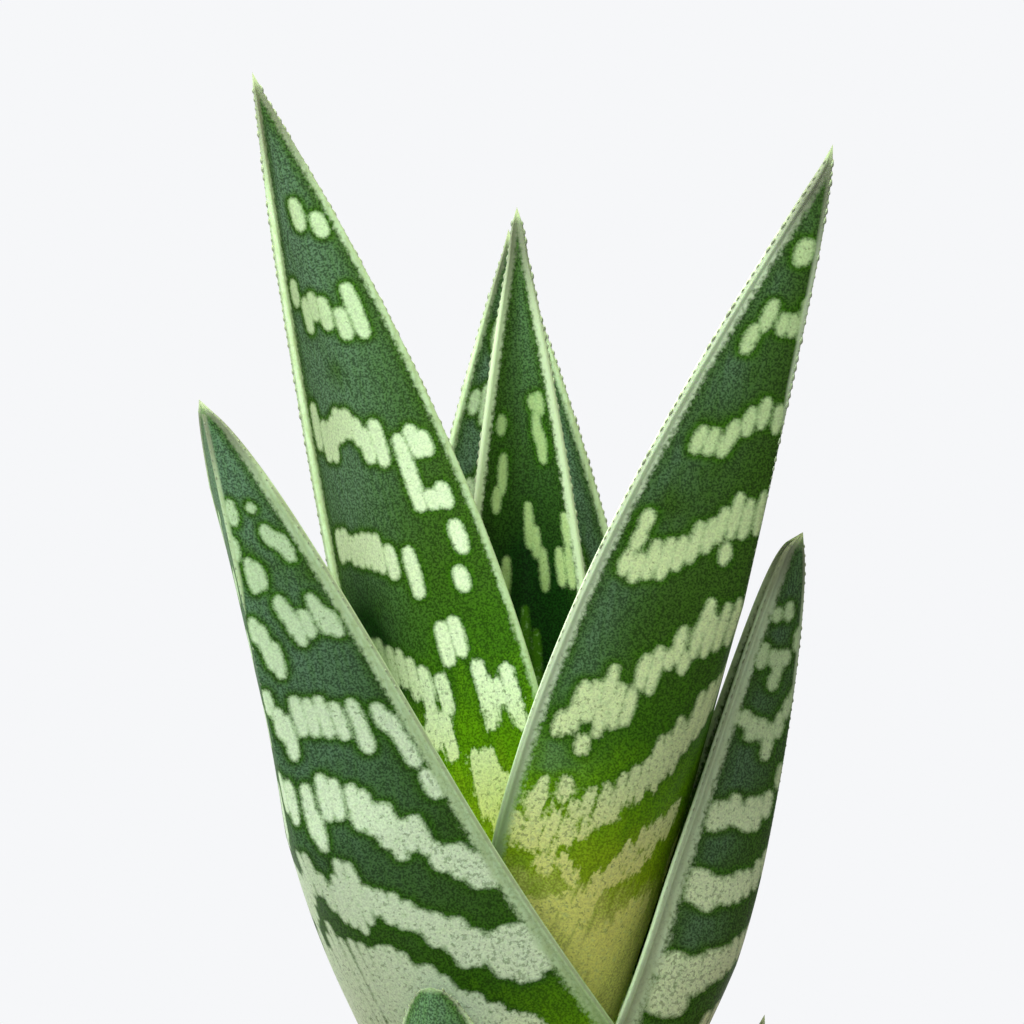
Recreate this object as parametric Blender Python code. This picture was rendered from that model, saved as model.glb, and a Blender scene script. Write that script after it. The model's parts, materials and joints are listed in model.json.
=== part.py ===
"""A potted tiger aloe: a young plant with ten keeled leaves in three ranks, its short stem and
roots, and potting mix in a plain clay pot.

Metres, +Z up. The origin is the centre of the pot's underside, and -Y is the plant's front.
Places on the plant are given in millimetres from the middle of the potting mix's surface.
"""

import math
from dataclasses import dataclass

import bmesh
import bpy
from mathutils import Vector, noise

MM = 0.001
GAP = 0.35  # mm, between pieces that touch
ROOT_GAP = 0.5  # mm, between the roots and the potting mix
MERGE = 1e-6  # m
SHARP_ANGLE = 40  # degrees, where shading breaks

# The pot, in mm
POT_HEIGHT = 80.0
RIM_RADIUS = 46.0
RIM_DEPTH = 19.0
SHOULDER_RADIUS = 42.6
FOOT_RADIUS = 31.5
POT_WALL = 5.0
POT_FLOOR = 6.5
DRAIN_RADIUS = 6.0
POT_EDGE = 1.2  # the bevels' width
POT_FILLET = 2.0  # where the inner wall meets the floor
POT_SIDES = 44

# The potting mix, in mm
SOIL_TOP = 68.0
SOIL_RINGS = 6
SOIL_SIDES = 32
SOIL_ROUGHNESS = 0.9  # the lumps' height
SOIL_LUMP = 7.0  # the lumps' width
SOIL_DIP = 1.5
SOIL_DIP_RADIUS = 20.0
SOIL_CHAMFER = 3.0
SOIL_ROOM = 0.65  # from the potting mix to the pot's wall, so that their facets keep clear

# The stem and its roots, in mm from the potting mix's surface
STEM_PROFILE = ((2.6, -24.0), (4.4, -14.0), (4.4, 2.0), (3.8, 14.0), (3.3, 21.0), (2.2, 24.5))
STEM_SIDES = 12
ROOT_COUNT = 6
ROOT_TOP = -9.0
ROOT_STAGGER = 1.5  # each root starts this much lower than the one before
ROOT_FALL = 25.0
ROOT_DROOP = 1.6  # how late a root turns down: 1 is a straight slope
ROOT_REACH = 22.0
ROOT_BEND = 0.4  # radians, to the side
ROOT_RADIUS = 1.7
ROOT_TIP_RADIUS = 0.6
ROOT_SIDES = 6
ROOT_STEPS = 6

# Base colours
CLAY = (0.42, 0.16, 0.08)
DARK_MIX = (0.035, 0.022, 0.015)
PALE_ROOT = (0.42, 0.34, 0.18)
LEAF_GREEN = (0.045, 0.16, 0.045)

# What all leaves share
RIM_THICKNESS = 0.9  # mm, the horny margin's
TOOTH_HEIGHT = 0.45  # mm
TOOTH_WIDTH = 0.9  # mm, along the margin
TOOTH_ROOM = 0.35  # half a tooth's width over the teeth's spacing, at most
TEETH_PER_STEP = 2
SHARP_TIP_RIM = 0.25  # mm, the margin's thickness at the point
BASE_THICKNESS = 0.45  # over the blade's
UPPER_ROUNDING = (2.0, 1.5)  # 2 is a round channel and 1 a sharp V, at the base and in the blade
UNDER_ROUNDING = (2.2, 1.2)  # the same for the underside, before the keel and along it

# Shares of a leaf's length
CHANNEL_SET = 0.6  # the channel has its blade's depth from here on
TURN_SET = 0.5  # the blade faces its own way from here on
KEEL_LEAD = 0.25  # the underside starts to sharpen this long before the keel
KEEL_SET = 0.35  # and takes this long

UPPER_COLUMNS = (-0.66, -0.33, 0.0, 0.33, 0.66)
UNDER_COLUMNS = (0.8, 0.42, 0.0, -0.42, -0.8)
TIP_START = 0.97  # of the length: the last outline before the point


@dataclass
class Leaf:
    """One leaf. Places are in mm from the middle of the potting mix's surface, and angles in
    degrees anticlockwise from +X as seen from above."""

    name: str
    base: tuple  # where the middle line leaves the stem
    shoulder: tuple  # what the middle line bends towards
    tip: tuple
    turned: tuple  # the way the keel points, at the base and in the blade
    half_width: float  # of the open channel, at its widest
    widest: float = 0.34  # of the length
    neck: float = 0.34  # the base's width over the widest
    taper: tuple = (2.0, 1.0)  # (2, 1) gives a slim point, (1, 0.5) a blunt one
    channel: tuple = (0.55, 0.4)  # depth over half width, at the base and in the blade
    thickness: float = 4.6  # at the keel, where the leaf is fattest
    fattest: float = 0.6  # of the length, where the thickness is reached
    thinning: tuple = (0.55, 0.8)  # the keel gets lower over this last stretch, and how soon
    keel: float = 0.6  # the keel is sharp from here to the tip, as a share of the length
    steps: int = 18


LEAVES = (
    Leaf(
        "leaf_heart",
        base=(-0.9, 0.7, 25.5),
        shoulder=(-1.6, 1.3, 38),
        tip=(0.6, 0.4, 52),
        turned=(145, 145),
        half_width=3.8,
        channel=(0.7, 0.6),
        thickness=3.2,
        steps=6,
    ),
    Leaf(
        "leaf_inner_left",
        base=(-4.1, 1.2, 20),
        shoulder=(-7.6, 2, 52),
        tip=(-30.1, 6, 128),
        turned=(170, 130),
        half_width=11.5,
        widest=0.44,
        neck=0.26,
    ),
    Leaf(
        "leaf_inner_right",
        base=(2.0, -4.2, 20.5),
        shoulder=(6.8, -8, 50),
        tip=(29.2, -20, 121),
        turned=(310, 325),
        half_width=14.0,
        widest=0.48,
        neck=0.24,
        taper=(1.8, 1.0),
        thickness=6.8,
        fattest=0.75,
        thinning=(0.35, 0.6),
    ),
    Leaf(
        "leaf_inner_back",
        base=(0.5, 5.6, 20),
        shoulder=(-1.0, 19, 48),
        tip=(-2.4, 14, 113.5),
        turned=(80, 90),
        half_width=8.0,
        neck=0.4,
    ),
    Leaf(
        "leaf_outer_left",
        base=(-3.5, -2.8, 8),
        shoulder=(-18.3, -13, 44),
        tip=(-34.2, -24, 95.5),
        turned=(218, 218),
        half_width=20.0,
        widest=0.2,
        neck=0.28,
        taper=(1.0, 0.62),
        thickness=6.6,
        thinning=(0.45, 1.0),
    ),
    Leaf(
        "leaf_outer_right",
        base=(4.5, -1.5, 8),
        shoulder=(18.0, -5, 37),
        tip=(27.2, -5, 80.3),
        turned=(-16, 0),
        half_width=8.2,
        widest=0.3,
        neck=0.33,
        taper=(1.0, 0.34),
        channel=(0.42, 0.76),
        thickness=5.6,
        thinning=(0.55, 0.6),
        steps=14,
    ),
    Leaf(
        "leaf_outer_back",
        base=(-0.2, 5.1, 9),
        shoulder=(-1, 23, 40),
        tip=(-3.3, 25, 110.7),
        turned=(98, 90),
        half_width=15.5,
        neck=0.2,
    ),
    Leaf("leaf_low_front", (-2.2, -4.4, 3), (-9, -18, 8), (-11.3, -21, 35.9), (243, 243), 10, steps=8),
    Leaf("leaf_low_back", (-2.4, 4.3, 3), (-9, 18, 8), (-12, 24, 31), (118, 118), 9.5, steps=8),
    Leaf("leaf_low_right", (4.6, 1.7, 3), (19, 6, 8), (24, 9, 27), (20, 20), 9.5, steps=8),
)


def mix(low, high, share):
    return low + (high - low) * share


def smooth(share):
    share = min(max(share, 0.0), 1.0)
    return share * share * (3 - 2 * share)


def placed(leaf, along):
    """The middle line's point, and the leaf's own axes there: across, and towards the upper
    face."""
    base, shoulder, tip = Vector(leaf.base), Vector(leaf.shoulder), Vector(leaf.tip)
    back = 1 - along
    point = base * back**2 + shoulder * (2 * back * along) + tip * along**2
    forward = ((shoulder - base) * back + (tip - shoulder) * along).normalized()
    turn = math.radians(mix(*leaf.turned, smooth(along / TURN_SET)))
    inward = Vector((-math.cos(turn), -math.sin(turn), 0))
    across = inward.cross(forward).normalized()
    return point, across, forward.cross(across)


def half_width(leaf, along):
    """Half the channel's width: it swells from the clasping base, then tapers to a point."""
    if along < leaf.widest:
        return leaf.half_width * mix(leaf.neck, 1.0, math.sin(0.5 * math.pi * along / leaf.widest))
    share = (along - leaf.widest) / (1 - leaf.widest)
    return leaf.half_width * (1 - share ** leaf.taper[0]) ** leaf.taper[1]


def section(leaf, along):
    """The leaf's outline across it, as (across, up) points: a margin's ridge, the upper face,
    the other margin's ridge and the keeled underside."""
    wide = half_width(leaf, along)
    deep = wide * mix(*leaf.channel, smooth(along / CHANNEL_SET))
    thick = leaf.thickness * mix(BASE_THICKNESS, 1.0, smooth(along / leaf.fattest))
    thick *= min(1.0, (1 - along) / leaf.thinning[0]) ** leaf.thinning[1]
    rim = min(RIM_THICKNESS, 0.5 * thick + SHARP_TIP_RIM)
    sharp = smooth((along - leaf.keel + KEEL_LEAD) / KEEL_SET)
    round_under = mix(*UNDER_ROUNDING, sharp)
    round_upper = mix(*UPPER_ROUNDING, smooth(along / TURN_SET))
    fall = deep - rim + thick
    upper = [(wide * u, deep * abs(u) ** round_upper) for u in UPPER_COLUMNS]
    under = [(wide * u, deep - rim - fall * (1 - abs(u) ** round_under)) for u in UNDER_COLUMNS]
    ridge = wide + 0.5 * rim
    return [
        (-ridge, deep - 0.5 * rim),
        (-wide, deep),
        *upper,
        (wide, deep),
        (ridge, deep - 0.5 * rim),
        (wide, deep - rim),
        *under,
        (-wide, deep - rim),
    ]


def ring_points(leaf, along):
    point, across, up = placed(leaf, along)
    return [point + across * x + up * y for x, y in section(leaf, along)]


def tooth_points(start, end, outward):
    """The points of the teeth on one stretch of an edge, between its two ends."""
    stretch = end - start
    half_share = min(0.5 * TOOTH_WIDTH / stretch.length, TOOTH_ROOM / TEETH_PER_STEP)
    points = []
    for tooth in range(TEETH_PER_STEP):
        middle = (tooth + 0.5) / TEETH_PER_STEP
        points.append(start + stretch * (middle - half_share))
        points.append(start + stretch * middle + outward * TOOTH_HEIGHT)
        points.append(start + stretch * (middle + half_share))
    return points


def make_leaf(leaf):
    bm = bmesh.new()
    stations = [TIP_START * step / leaf.steps for step in range(leaf.steps + 1)]
    rings = [[bm.verts.new(point * MM) for point in ring_points(leaf, along)] for along in stations]
    count = len(rings[0])
    right_ridge = len(UPPER_COLUMNS) + 3
    keel = right_ridge + 2 + len(UNDER_COLUMNS) // 2
    for step in range(leaf.steps):
        low, high = rings[step], rings[step + 1]
        middle = 0.5 * (stations[step] + stations[step + 1])
        _, across, up = placed(leaf, middle)
        edges = {0: -across, right_ridge: across}
        if middle > leaf.keel:
            edges[keel] = -up
        teeth = {}
        for column, outward in edges.items():
            ends = (low[column].co / MM, high[column].co / MM)
            teeth[column] = [bm.verts.new(point * MM) for point in tooth_points(*ends, outward)]
        for column in range(count):
            following = (column + 1) % count
            outline = [low[column], low[following], *teeth.get(following, [])]
            outline += [high[following], high[column], *reversed(teeth.get(column, []))]
            bm.faces.new(outline)
    point, _, _ = placed(leaf, 1.0)
    tip = bm.verts.new(point * MM)
    for column in range(count):
        bm.faces.new((rings[-1][column], rings[-1][(column + 1) % count], tip))
    close_base(bm, rings[0], right_ridge)
    return finish(bm, leaf.name)


def close_base(bm, ring, right_ridge):
    """The hollowed end by the stem, closed by strips from the upper face to the underside."""
    upper = ring[1:right_ridge]
    under = list(reversed(ring[right_ridge + 1 :]))
    bm.faces.new((ring[0], upper[0], under[0]))
    bm.faces.new((ring[right_ridge], under[-1], upper[-1]))
    for left in range(len(upper) - 1):
        bm.faces.new((upper[left], upper[left + 1], under[left + 1], under[left]))


def finish(bm, name):
    """An object of the mesh, with its faces split into triangles that point outwards."""
    bmesh.ops.triangulate(bm, faces=bm.faces)
    bmesh.ops.recalc_face_normals(bm, faces=bm.faces)
    mesh = bpy.data.meshes.new(name)
    bm.to_mesh(mesh)
    bm.free()
    mesh.shade_smooth()
    mesh.set_sharp_from_angle(angle=math.radians(SHARP_ANGLE))
    made = bpy.data.objects.new(name, mesh)
    bpy.context.collection.objects.link(made)
    return made


def spin_profile(bm, profile, sides):
    """Turn a closed outline of (radius, height) points, in mm, about the upright axis."""
    corners = [bm.verts.new((radius * MM, 0, height * MM)) for radius, height in profile]
    edges = [bm.edges.new((corners[i - 1], corners[i])) for i in range(len(corners))]
    bmesh.ops.spin(
        bm,
        geom=corners + edges,
        cent=(0, 0, 0),
        axis=(0, 0, 1),
        angle=2 * math.pi,
        steps=sides,
        use_merge=True,
    )
    bmesh.ops.remove_doubles(bm, verts=bm.verts, dist=MERGE)


def wall_radius(height):
    """The pot's inner wall, which slopes as the outside below the rim does."""
    slope = (SHOULDER_RADIUS - FOOT_RADIUS) / (POT_HEIGHT - RIM_DEPTH)
    return FOOT_RADIUS + slope * height - POT_WALL


def make_pot():
    rim_low = POT_HEIGHT - RIM_DEPTH
    outside = [
        (FOOT_RADIUS - POT_EDGE, 0),
        (FOOT_RADIUS, POT_EDGE),
        (SHOULDER_RADIUS, rim_low),
        (RIM_RADIUS - 2 * POT_EDGE, rim_low),
        (RIM_RADIUS - POT_EDGE, rim_low + POT_EDGE),
        (RIM_RADIUS, POT_HEIGHT - POT_EDGE),
        (RIM_RADIUS - POT_EDGE, POT_HEIGHT),
    ]
    inside = [
        (wall_radius(POT_HEIGHT) + POT_EDGE, POT_HEIGHT),
        (wall_radius(POT_HEIGHT), POT_HEIGHT - POT_EDGE),
        (wall_radius(POT_FLOOR + POT_FILLET), POT_FLOOR + POT_FILLET),
        (wall_radius(POT_FLOOR) - POT_FILLET, POT_FLOOR),
        (DRAIN_RADIUS, POT_FLOOR),
        (DRAIN_RADIUS, 0),
    ]
    bm = bmesh.new()
    spin_profile(bm, outside + inside, POT_SIDES)
    return finish(bm, "pot")


def soil_height(x, y):
    """The potting mix's surface: lumps, and a slight dip towards the plant."""
    lump = noise.noise(Vector((x, y, 0)) / SOIL_LUMP)
    dip = SOIL_DIP * math.exp(-(x * x + y * y) / SOIL_DIP_RADIUS**2)
    return SOIL_TOP + SOIL_ROUGHNESS * lump - dip


def make_soil():
    bm = bmesh.new()
    bottom = POT_FLOOR + GAP
    outer = wall_radius(SOIL_TOP) - SOIL_ROOM
    lower = wall_radius(bottom + SOIL_CHAMFER) - SOIL_ROOM
    middle = bm.verts.new((0, 0, soil_height(0, 0) * MM))
    rings = [soil_ring(bm, outer * ring / SOIL_RINGS, None) for ring in range(1, SOIL_RINGS + 1)]
    rings.append(soil_ring(bm, lower, bottom + SOIL_CHAMFER))
    rings.append(soil_ring(bm, lower - SOIL_CHAMFER, bottom))
    floor = bm.verts.new((0, 0, bottom * MM))
    for side in range(SOIL_SIDES):
        after = (side + 1) % SOIL_SIDES
        bm.faces.new((middle, rings[0][side], rings[0][after]))
        bm.faces.new((floor, rings[-1][after], rings[-1][side]))
        for inner, wider in zip(rings, rings[1:]):
            bm.faces.new((inner[side], wider[side], wider[after], inner[after]))
    soil = finish(bm, "soil")
    cut_away(soil, make_rootstock("root_space", ROOT_GAP))
    return soil


def soil_ring(bm, radius, height):
    """One ring of the potting mix: on its surface, or at the height given."""
    ring = []
    for side in range(SOIL_SIDES):
        angle = 2 * math.pi * side / SOIL_SIDES
        x, y = radius * math.cos(angle), radius * math.sin(angle)
        z = soil_height(x, y) if height is None else height
        ring.append(bm.verts.new((x * MM, y * MM, z * MM)))
    return ring


def root_path(number):
    """Where one root runs, in mm from the potting mix's surface: out, then down. The sines and
    cosines of its number make the roots uneven."""
    heading = 2 * math.pi * (number + 0.15 * math.sin(5 * number)) / ROOT_COUNT
    reach = ROOT_REACH * (0.8 + 0.2 * math.cos(3 * number))
    path = []
    for step in range(ROOT_STEPS + 1):
        share = step / ROOT_STEPS
        angle = heading + ROOT_BEND * math.sin(math.pi * share)
        out = 1.0 + reach * math.sin(0.5 * math.pi * share)
        down = ROOT_TOP - ROOT_STAGGER * number - ROOT_FALL * share**ROOT_DROOP
        path.append(Vector((out * math.cos(angle), out * math.sin(angle), down)))
    return path


def tube(bm, path, radii, sides, fatter):
    """A closed tube along a path, with flat ends, grown on all sides by fatter."""
    if fatter:
        first = path[0] + (path[0] - path[1]).normalized() * fatter
        last = path[-1] + (path[-1] - path[-2]).normalized() * fatter
        path = [first, *path, last]
        radii = [radius + fatter for radius in (radii[0], *radii, radii[-1])]
    rings = []
    for place, radius in enumerate(radii):
        before, after = path[max(place - 1, 0)], path[min(place + 1, len(path) - 1)]
        turn = Vector((0, 0, 1)).rotation_difference(after - before)
        ring = []
        for side in range(sides):
            angle = 2 * math.pi * side / sides
            spoke = Vector((math.cos(angle), math.sin(angle), 0)) * radius
            ring.append(bm.verts.new((path[place] + turn @ spoke) * MM))
        rings.append(ring)
    for low, high in zip(rings, rings[1:]):
        for side in range(sides):
            after = (side + 1) % sides
            bm.faces.new((low[side], low[after], high[after], high[side]))
    bm.faces.new(list(reversed(rings[0])))
    bm.faces.new(rings[-1])


def make_rootstock(name, fatter):
    """The stem with its roots as one body, or the room for it where fatter is more than nought."""
    surface = Vector((0, 0, SOIL_TOP))
    path = [Vector((0, 0, height)) + surface for _, height in STEM_PROFILE]
    bm = bmesh.new()
    tube(bm, path, [radius for radius, _ in STEM_PROFILE], STEM_SIDES, fatter)
    stock = finish(bm, name)
    roots = bpy.data.collections.new(name + "_roots")
    for number in range(ROOT_COUNT):
        bm = bmesh.new()
        path = [point + surface for point in root_path(number)]
        radii = [mix(ROOT_RADIUS, ROOT_TIP_RADIUS, step / ROOT_STEPS) for step in range(ROOT_STEPS + 1)]
        tube(bm, path, radii, ROOT_SIDES, fatter)
        root = finish(bm, f"{name}_root_{number}")
        bpy.context.collection.objects.unlink(root)
        roots.objects.link(root)
    union = stock.modifiers.new("Roots", "BOOLEAN")
    union.operation = "UNION"
    union.operand_type = "COLLECTION"
    union.collection = roots
    apply_modifiers(stock)
    for root in list(roots.objects):
        bpy.data.objects.remove(root)
    bpy.data.collections.remove(roots)
    return stock


def cut_away(body, cutter):
    cut = body.modifiers.new("Cut", "BOOLEAN")
    cut.operation = "DIFFERENCE"
    cut.object = cutter
    apply_modifiers(body)
    bpy.data.objects.remove(cutter)


def apply_modifiers(made):
    bpy.context.view_layer.update()
    shaped = made.evaluated_get(bpy.context.evaluated_depsgraph_get())
    mesh = bpy.data.meshes.new_from_object(shaped)
    made.modifiers.clear()
    made.data = mesh
    mesh.name = made.name


def paint(made, colour, roughness):
    """Give the object a material of its own."""
    material = bpy.data.materials.new(made.name)
    material.use_nodes = True
    shader = material.node_tree.nodes["Principled BSDF"]
    shader.inputs["Base Color"].default_value = (*colour, 1)
    shader.inputs["Roughness"].default_value = roughness
    shader.inputs["Metallic"].default_value = 0.0
    made.data.materials.clear()
    made.data.materials.append(material)


def main():
    for old in list(bpy.data.objects):
        bpy.data.objects.remove(old)
    paint(make_pot(), CLAY, 0.85)
    paint(make_soil(), DARK_MIX, 0.95)
    paint(make_rootstock("stem_and_roots", 0.0), PALE_ROOT, 0.7)
    for leaf in LEAVES:
        made = make_leaf(leaf)
        made.location.z = SOIL_TOP * MM
        paint(made, LEAF_GREEN, 0.42)


main()
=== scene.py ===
"""The looks of a potted tiger aloe: finely shaped leaves with pale bands and toothed margins,
loose potting mix, a clay pot, and a plain studio around them.

Run as a script in Blender. Metres, +Z up. Places on the leaves are in millimetres from the
middle of the potting mix's surface, as in the part itself.
"""

import json
import math
import random
from dataclasses import dataclass

import bmesh
import bpy
import numpy as np
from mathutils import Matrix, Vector, noise

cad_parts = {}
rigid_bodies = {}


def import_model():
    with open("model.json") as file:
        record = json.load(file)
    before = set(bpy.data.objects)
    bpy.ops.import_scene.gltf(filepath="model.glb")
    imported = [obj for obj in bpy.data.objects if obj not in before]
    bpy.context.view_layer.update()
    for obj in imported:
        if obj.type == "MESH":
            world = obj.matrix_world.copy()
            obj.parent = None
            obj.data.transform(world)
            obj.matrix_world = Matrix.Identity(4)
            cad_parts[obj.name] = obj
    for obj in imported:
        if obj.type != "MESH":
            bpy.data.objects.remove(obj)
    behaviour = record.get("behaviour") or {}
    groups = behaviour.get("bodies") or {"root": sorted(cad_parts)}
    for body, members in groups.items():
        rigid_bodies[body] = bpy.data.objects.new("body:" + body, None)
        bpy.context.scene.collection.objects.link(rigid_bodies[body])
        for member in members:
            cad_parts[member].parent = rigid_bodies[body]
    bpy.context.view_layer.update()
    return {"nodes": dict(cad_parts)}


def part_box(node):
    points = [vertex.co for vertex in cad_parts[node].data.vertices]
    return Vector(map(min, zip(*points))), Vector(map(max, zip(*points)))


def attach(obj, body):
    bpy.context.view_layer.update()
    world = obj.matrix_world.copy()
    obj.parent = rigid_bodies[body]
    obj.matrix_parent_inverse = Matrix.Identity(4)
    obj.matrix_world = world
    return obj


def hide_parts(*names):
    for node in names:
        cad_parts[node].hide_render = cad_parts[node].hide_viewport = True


bl_info = {
    "name": "Potted tiger aloe",
    "version": (1, 0, 0),
    "blender": (4, 5, 0),
    "location": "3D View > Sidebar > Aloe",
    "description": "Dresses a potted tiger aloe: leaves, potting mix, clay pot and studio",
    "category": "Object",
}

for old in list(bpy.data.objects):
    bpy.data.objects.remove(old)
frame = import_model()

MM = 0.001
UPPER, UNDER = 0, 1  # a leaf's two faces
BODY = "root"

# The pot and its mix, in mm
POT_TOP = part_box("pot")[1] / MM
POT_HEIGHT = POT_TOP.z
RIM_RADIUS = POT_TOP.x
RIM_DEPTH = 19.0
RIM_DRAFT = 1.1  # how much narrower the rim is at its lower edge
SHOULDER_RADIUS = 42.6
FOOT_RADIUS = 31.5
POT_WALL = 5.0
POT_FLOOR = 6.5
DRAIN_RADIUS = 6.0
POT_RING = 4.0  # the most between two rings of the pot's mesh
SOIL_TOP = 68.0
SOIL_ROUGHNESS = 0.9  # the lumps' height
SOIL_LUMP = 7.0  # the lumps' width
SOIL_DIP = 1.5
SOIL_DIP_RADIUS = 20.0
CRUMBS_START = 6.5  # radius that is left free round the stem
CRUMBS_END = 1.8  # left free along the pot's wall

# What all leaves share, in mm
RIM_THICKNESS = 0.9
SHARP_TIP_RIM = 0.25
FAR = 9.0  # stored where no mark or keel is near
DASH_BLEND = 0.1  # dashes that touch run together over this
DASH_REACH = 3.0  # a dash is looked for this far past its ends
SPECKS_FADE = (7.0, 1.0)  # specks thicken from here to here, inwards from the margin
KEEL_FAINT = 2.5  # added to the distance from the keel where its pale line has yet to start
UNDERSIDE_SHIFT = 60.0  # keeps the two faces' patterns apart
MEASURES = 400  # steps along the middle line when it is measured
ROW_MEASURES = 800  # and when its rows are spaced
FEWEST_CELLS = (24, 6)  # along a leaf, and across half a face
CELL_WIDTH = 0.85  # over its length
MARGIN_CELLS = 7  # round a margin

# The same, as ratios
BASE_THICKNESS = 0.45  # over the blade's
UPPER_ROUNDING = (2.0, 1.5)  # 2 is a round channel and 1 a sharp V, at the base and in the blade
UNDER_ROUNDING = (2.2, 1.2)  # the same for the underside, before the keel and along it
PAINTED_SHADOW_SPREAD = 0.42  # a painted shadow's reach over half width
WAX_AND_SHEEN_WIDENS = 1.5  # the wax and its painted sheen spread by this much more at the tip
SMALLEST_TOOTH = 0.25  # over a full one

# Shares of a leaf's length
CHANNEL_SET = 0.6
TURN_SET = 0.5
KEEL_LEAD = 0.25
KEEL_SET = 0.35
KEEL_PALES = (0.08, 0.24)  # past the keel's start
TIP_END = 0.992  # the last outline before the point
# a painted shadow's reach along the leaf
PAINTED_SHADOW_LENGTH = 0.08
WAX_AND_SHEEN_WIDENING = (0.6, 0.85)
WAX_AND_SHEEN_RISE = 0.3
DASH_WIDENING = (0.5, 0.2)
MARGIN_TEETH_START = 0.05
MARGIN_TEETH_RISE = (0.4, 0.8)  # they grow to full size between these
KEEL_TEETH_START = 0.02  # past the keel's start
KEEL_TEETH_RISE = 0.25

# Bands of dashes that follow a rule
BANDS_TOP = (0.89, 0.93)  # where the first is, as a share of the length
BANDS_BOTTOM = 0.06
BAND_STEP = 0.06  # from the lowest known dash to the next band
BAND_DROP = {UPPER: (-0.2, 0.3), UNDER: (0.45, 0.9)}  # mm down for each mm outwards, by face
BAND_ENDS = (0.55, 1.0)  # over half width
BAND_STARTS = (0.1, 0.4)  # the same, where a band's halves don't meet
BAND_JOINED = 0.6  # how many bands have halves that meet
BAND_ROOM = (2.0, 1.1)  # mm from one band to the next, and mm more for each mm of dash
BAND_GAP = (0.8, 1.3)  # how much that varies
DASH_LENGTH = (2.2, 3.4)  # mm at the tip
DASH_LENGTHENING = 4.0  # mm more at the base
DASH_SIZES = (0.6, 1.2)  # a dash's length over that of its band
DASH_SPACING = (0.9, 1.0, 1.0, 1.1, 2.0)  # dash widths from one to the next, picked at random
BAND_MARGIN = 0.9  # mm left free along the margin
WANDER_START, WANDER_STEP = 0.5, 0.7  # mm that dashes stray from the band's line, at most
TRACE = 1e-12  # a sum of nearness below which no dash is near

# Known dashes, carried over to the half that the photograph doesn't show
OTHER_HALF_SHIFT = 0.012  # share of the length, at most
OTHER_HALF_SIZES = (0.75, 1.2)  # over the known one's length
OTHER_HALF_CLEAR = 0.5  # mm further out than the known ones there

# A dash's own shape
DASH_WIDER = 0.3  # how much wider it is towards the base
DASH_ROUNDEST = 1.1  # the most width over length

# Crumbs, teeth and maps
UV_UNIT = 0.01  # metres of skin to one unit of its map
FIRST_SEED = 20  # the first leaf's, for its bands by rule
TOOTH_SIDES = 8
TOOTH_SIZES = (0.35, 1.15)  # over a full one
TOOTH_THICKNESS = 0.36  # over its length along the margin
TOOTH_POINT = 0.12  # the blunt point's radius over its length
TOOTH_SUNK = 0.35  # how much of its height more is inside the blade
MOST_CRUMBS = 6.0e6  # to a square metre, before those too near one another are left out
DENTS_SCALE, DENTS_DEPTH = 2.3, 1.6  # of a crumb's dents, for a crumb one unit wide
CRUMB_TURNS = (0.6, 0.6, 2 * math.pi)  # radians, the most about each axis
CRUMB_SHAPES = ((0.5, 0.45, 0.5), (1.5, 1.0, 1.0))  # the least and the most over the usual size

# The studio, in metres
VIEW_MIDDLE = Vector((-0.00294, 0.0, 0.15074))
VIEW_DISTANCE = 0.60
VIEW_DOWN = math.radians(5)
VIEW_HEIGHT = 0.10752  # what the frame takes in at the plant
LIGHT_SIZE = 0.5
LIGHTS = (  # name, place, power and colour
    ("key", (-0.40, -0.33, 0.76), 10.0, (0.94, 1.0, 1.05)),
    ("top", (0.0, -0.07, 0.95), 8.0, (1.06, 1.0, 0.86)),
    ("left", (-0.74, 0.13, 0.42), 3.0, (1.0, 1.0, 1.0)),
    ("front", (0.0, -0.78, 0.32), 1.6, (1.0, 1.0, 1.0)),
)
WORLD_LIGHT = 0.2  # the backdrop's brightness where it lights the plant
FLOOR_RADIUS = 6.0
FLOOR_FADE = (0.14, 0.42)  # the floor turns into the backdrop between these radii


@dataclass
class Leaf:
    """One leaf's shape and looks. Places are in mm from the middle of the potting mix's surface,
    and angles in degrees anticlockwise from +X as seen from above. Over half width, a face runs
    from -1 at one margin to 1 at the other."""

    name: str
    base: tuple  # where the middle line leaves the stem
    shoulder: tuple  # what the middle line bends towards
    tip: tuple
    turned: tuple  # the way the keel points, at the base and in the blade
    half_width: float  # of the open channel, at its widest
    widest: float = 0.34  # of the length
    neck: float = 0.34  # the base's width over the widest
    taper: tuple = (2.0, 1.0)  # (2, 1) gives a slim point, (1, 0.5) a blunt one
    roundness: float = 4.5  # half width a whole length from the tip, if the tip's curve went on
    spine: float = 0.8  # mm of slim point past the middle line's end
    channel: tuple = (0.55, 0.4)  # depth over half width, at the base and in the blade
    thickness: float = 4.6  # at the keel, where the leaf is fattest
    fattest: float = 0.6  # of the length, where the thickness is reached
    thinning: tuple = (0.55, 0.8)  # the keel gets lower over this last stretch, and how soon
    keel: float = 0.6  # the keel is sharp from here to the tip, as a share of the length
    rim: float = 0.3  # mm that the horny margin reaches onto the faces
    teeth: float = 1.0  # the teeth's size

    known: tuple = (None, False, ())  # a face, if its halves are alike, and the dashes it shows
    aside: float = 0.0  # how far all dashes are shifted, over half width
    dash: float = 1.2  # mm, a dash's width
    rounding: float = 0.4  # how much of a dash's round ends its length takes in
    slimming: float = 0.3  # how much slimmer a dash is at its ends
    specks: float = 0.2  # how thick dark specks stand on the marks near the margins
    warmth: float = 0.0  # nought for mint dashes, one for cream
    dimness: float = 0.0  # painted shade over the whole leaf, as on one that lies in shadow: how much green shows through the dashes, and how deep its greens and dull its margin turn
    painted_shadows: tuple = ()  # painted shadows, deep green where a nearer leaf shades this one: over half width, of the length, how deep
    ripening: tuple = (0.5, 0.04)  # shares of the length between which green turns to cream
    bloom: tuple = (0.0, 0.6, 0.6)  # bluish wax with a painted sheen where light falls: where and how far, over half width, how thick
    bloom_start: float = 0.25  # share of the length above which it thickens


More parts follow.
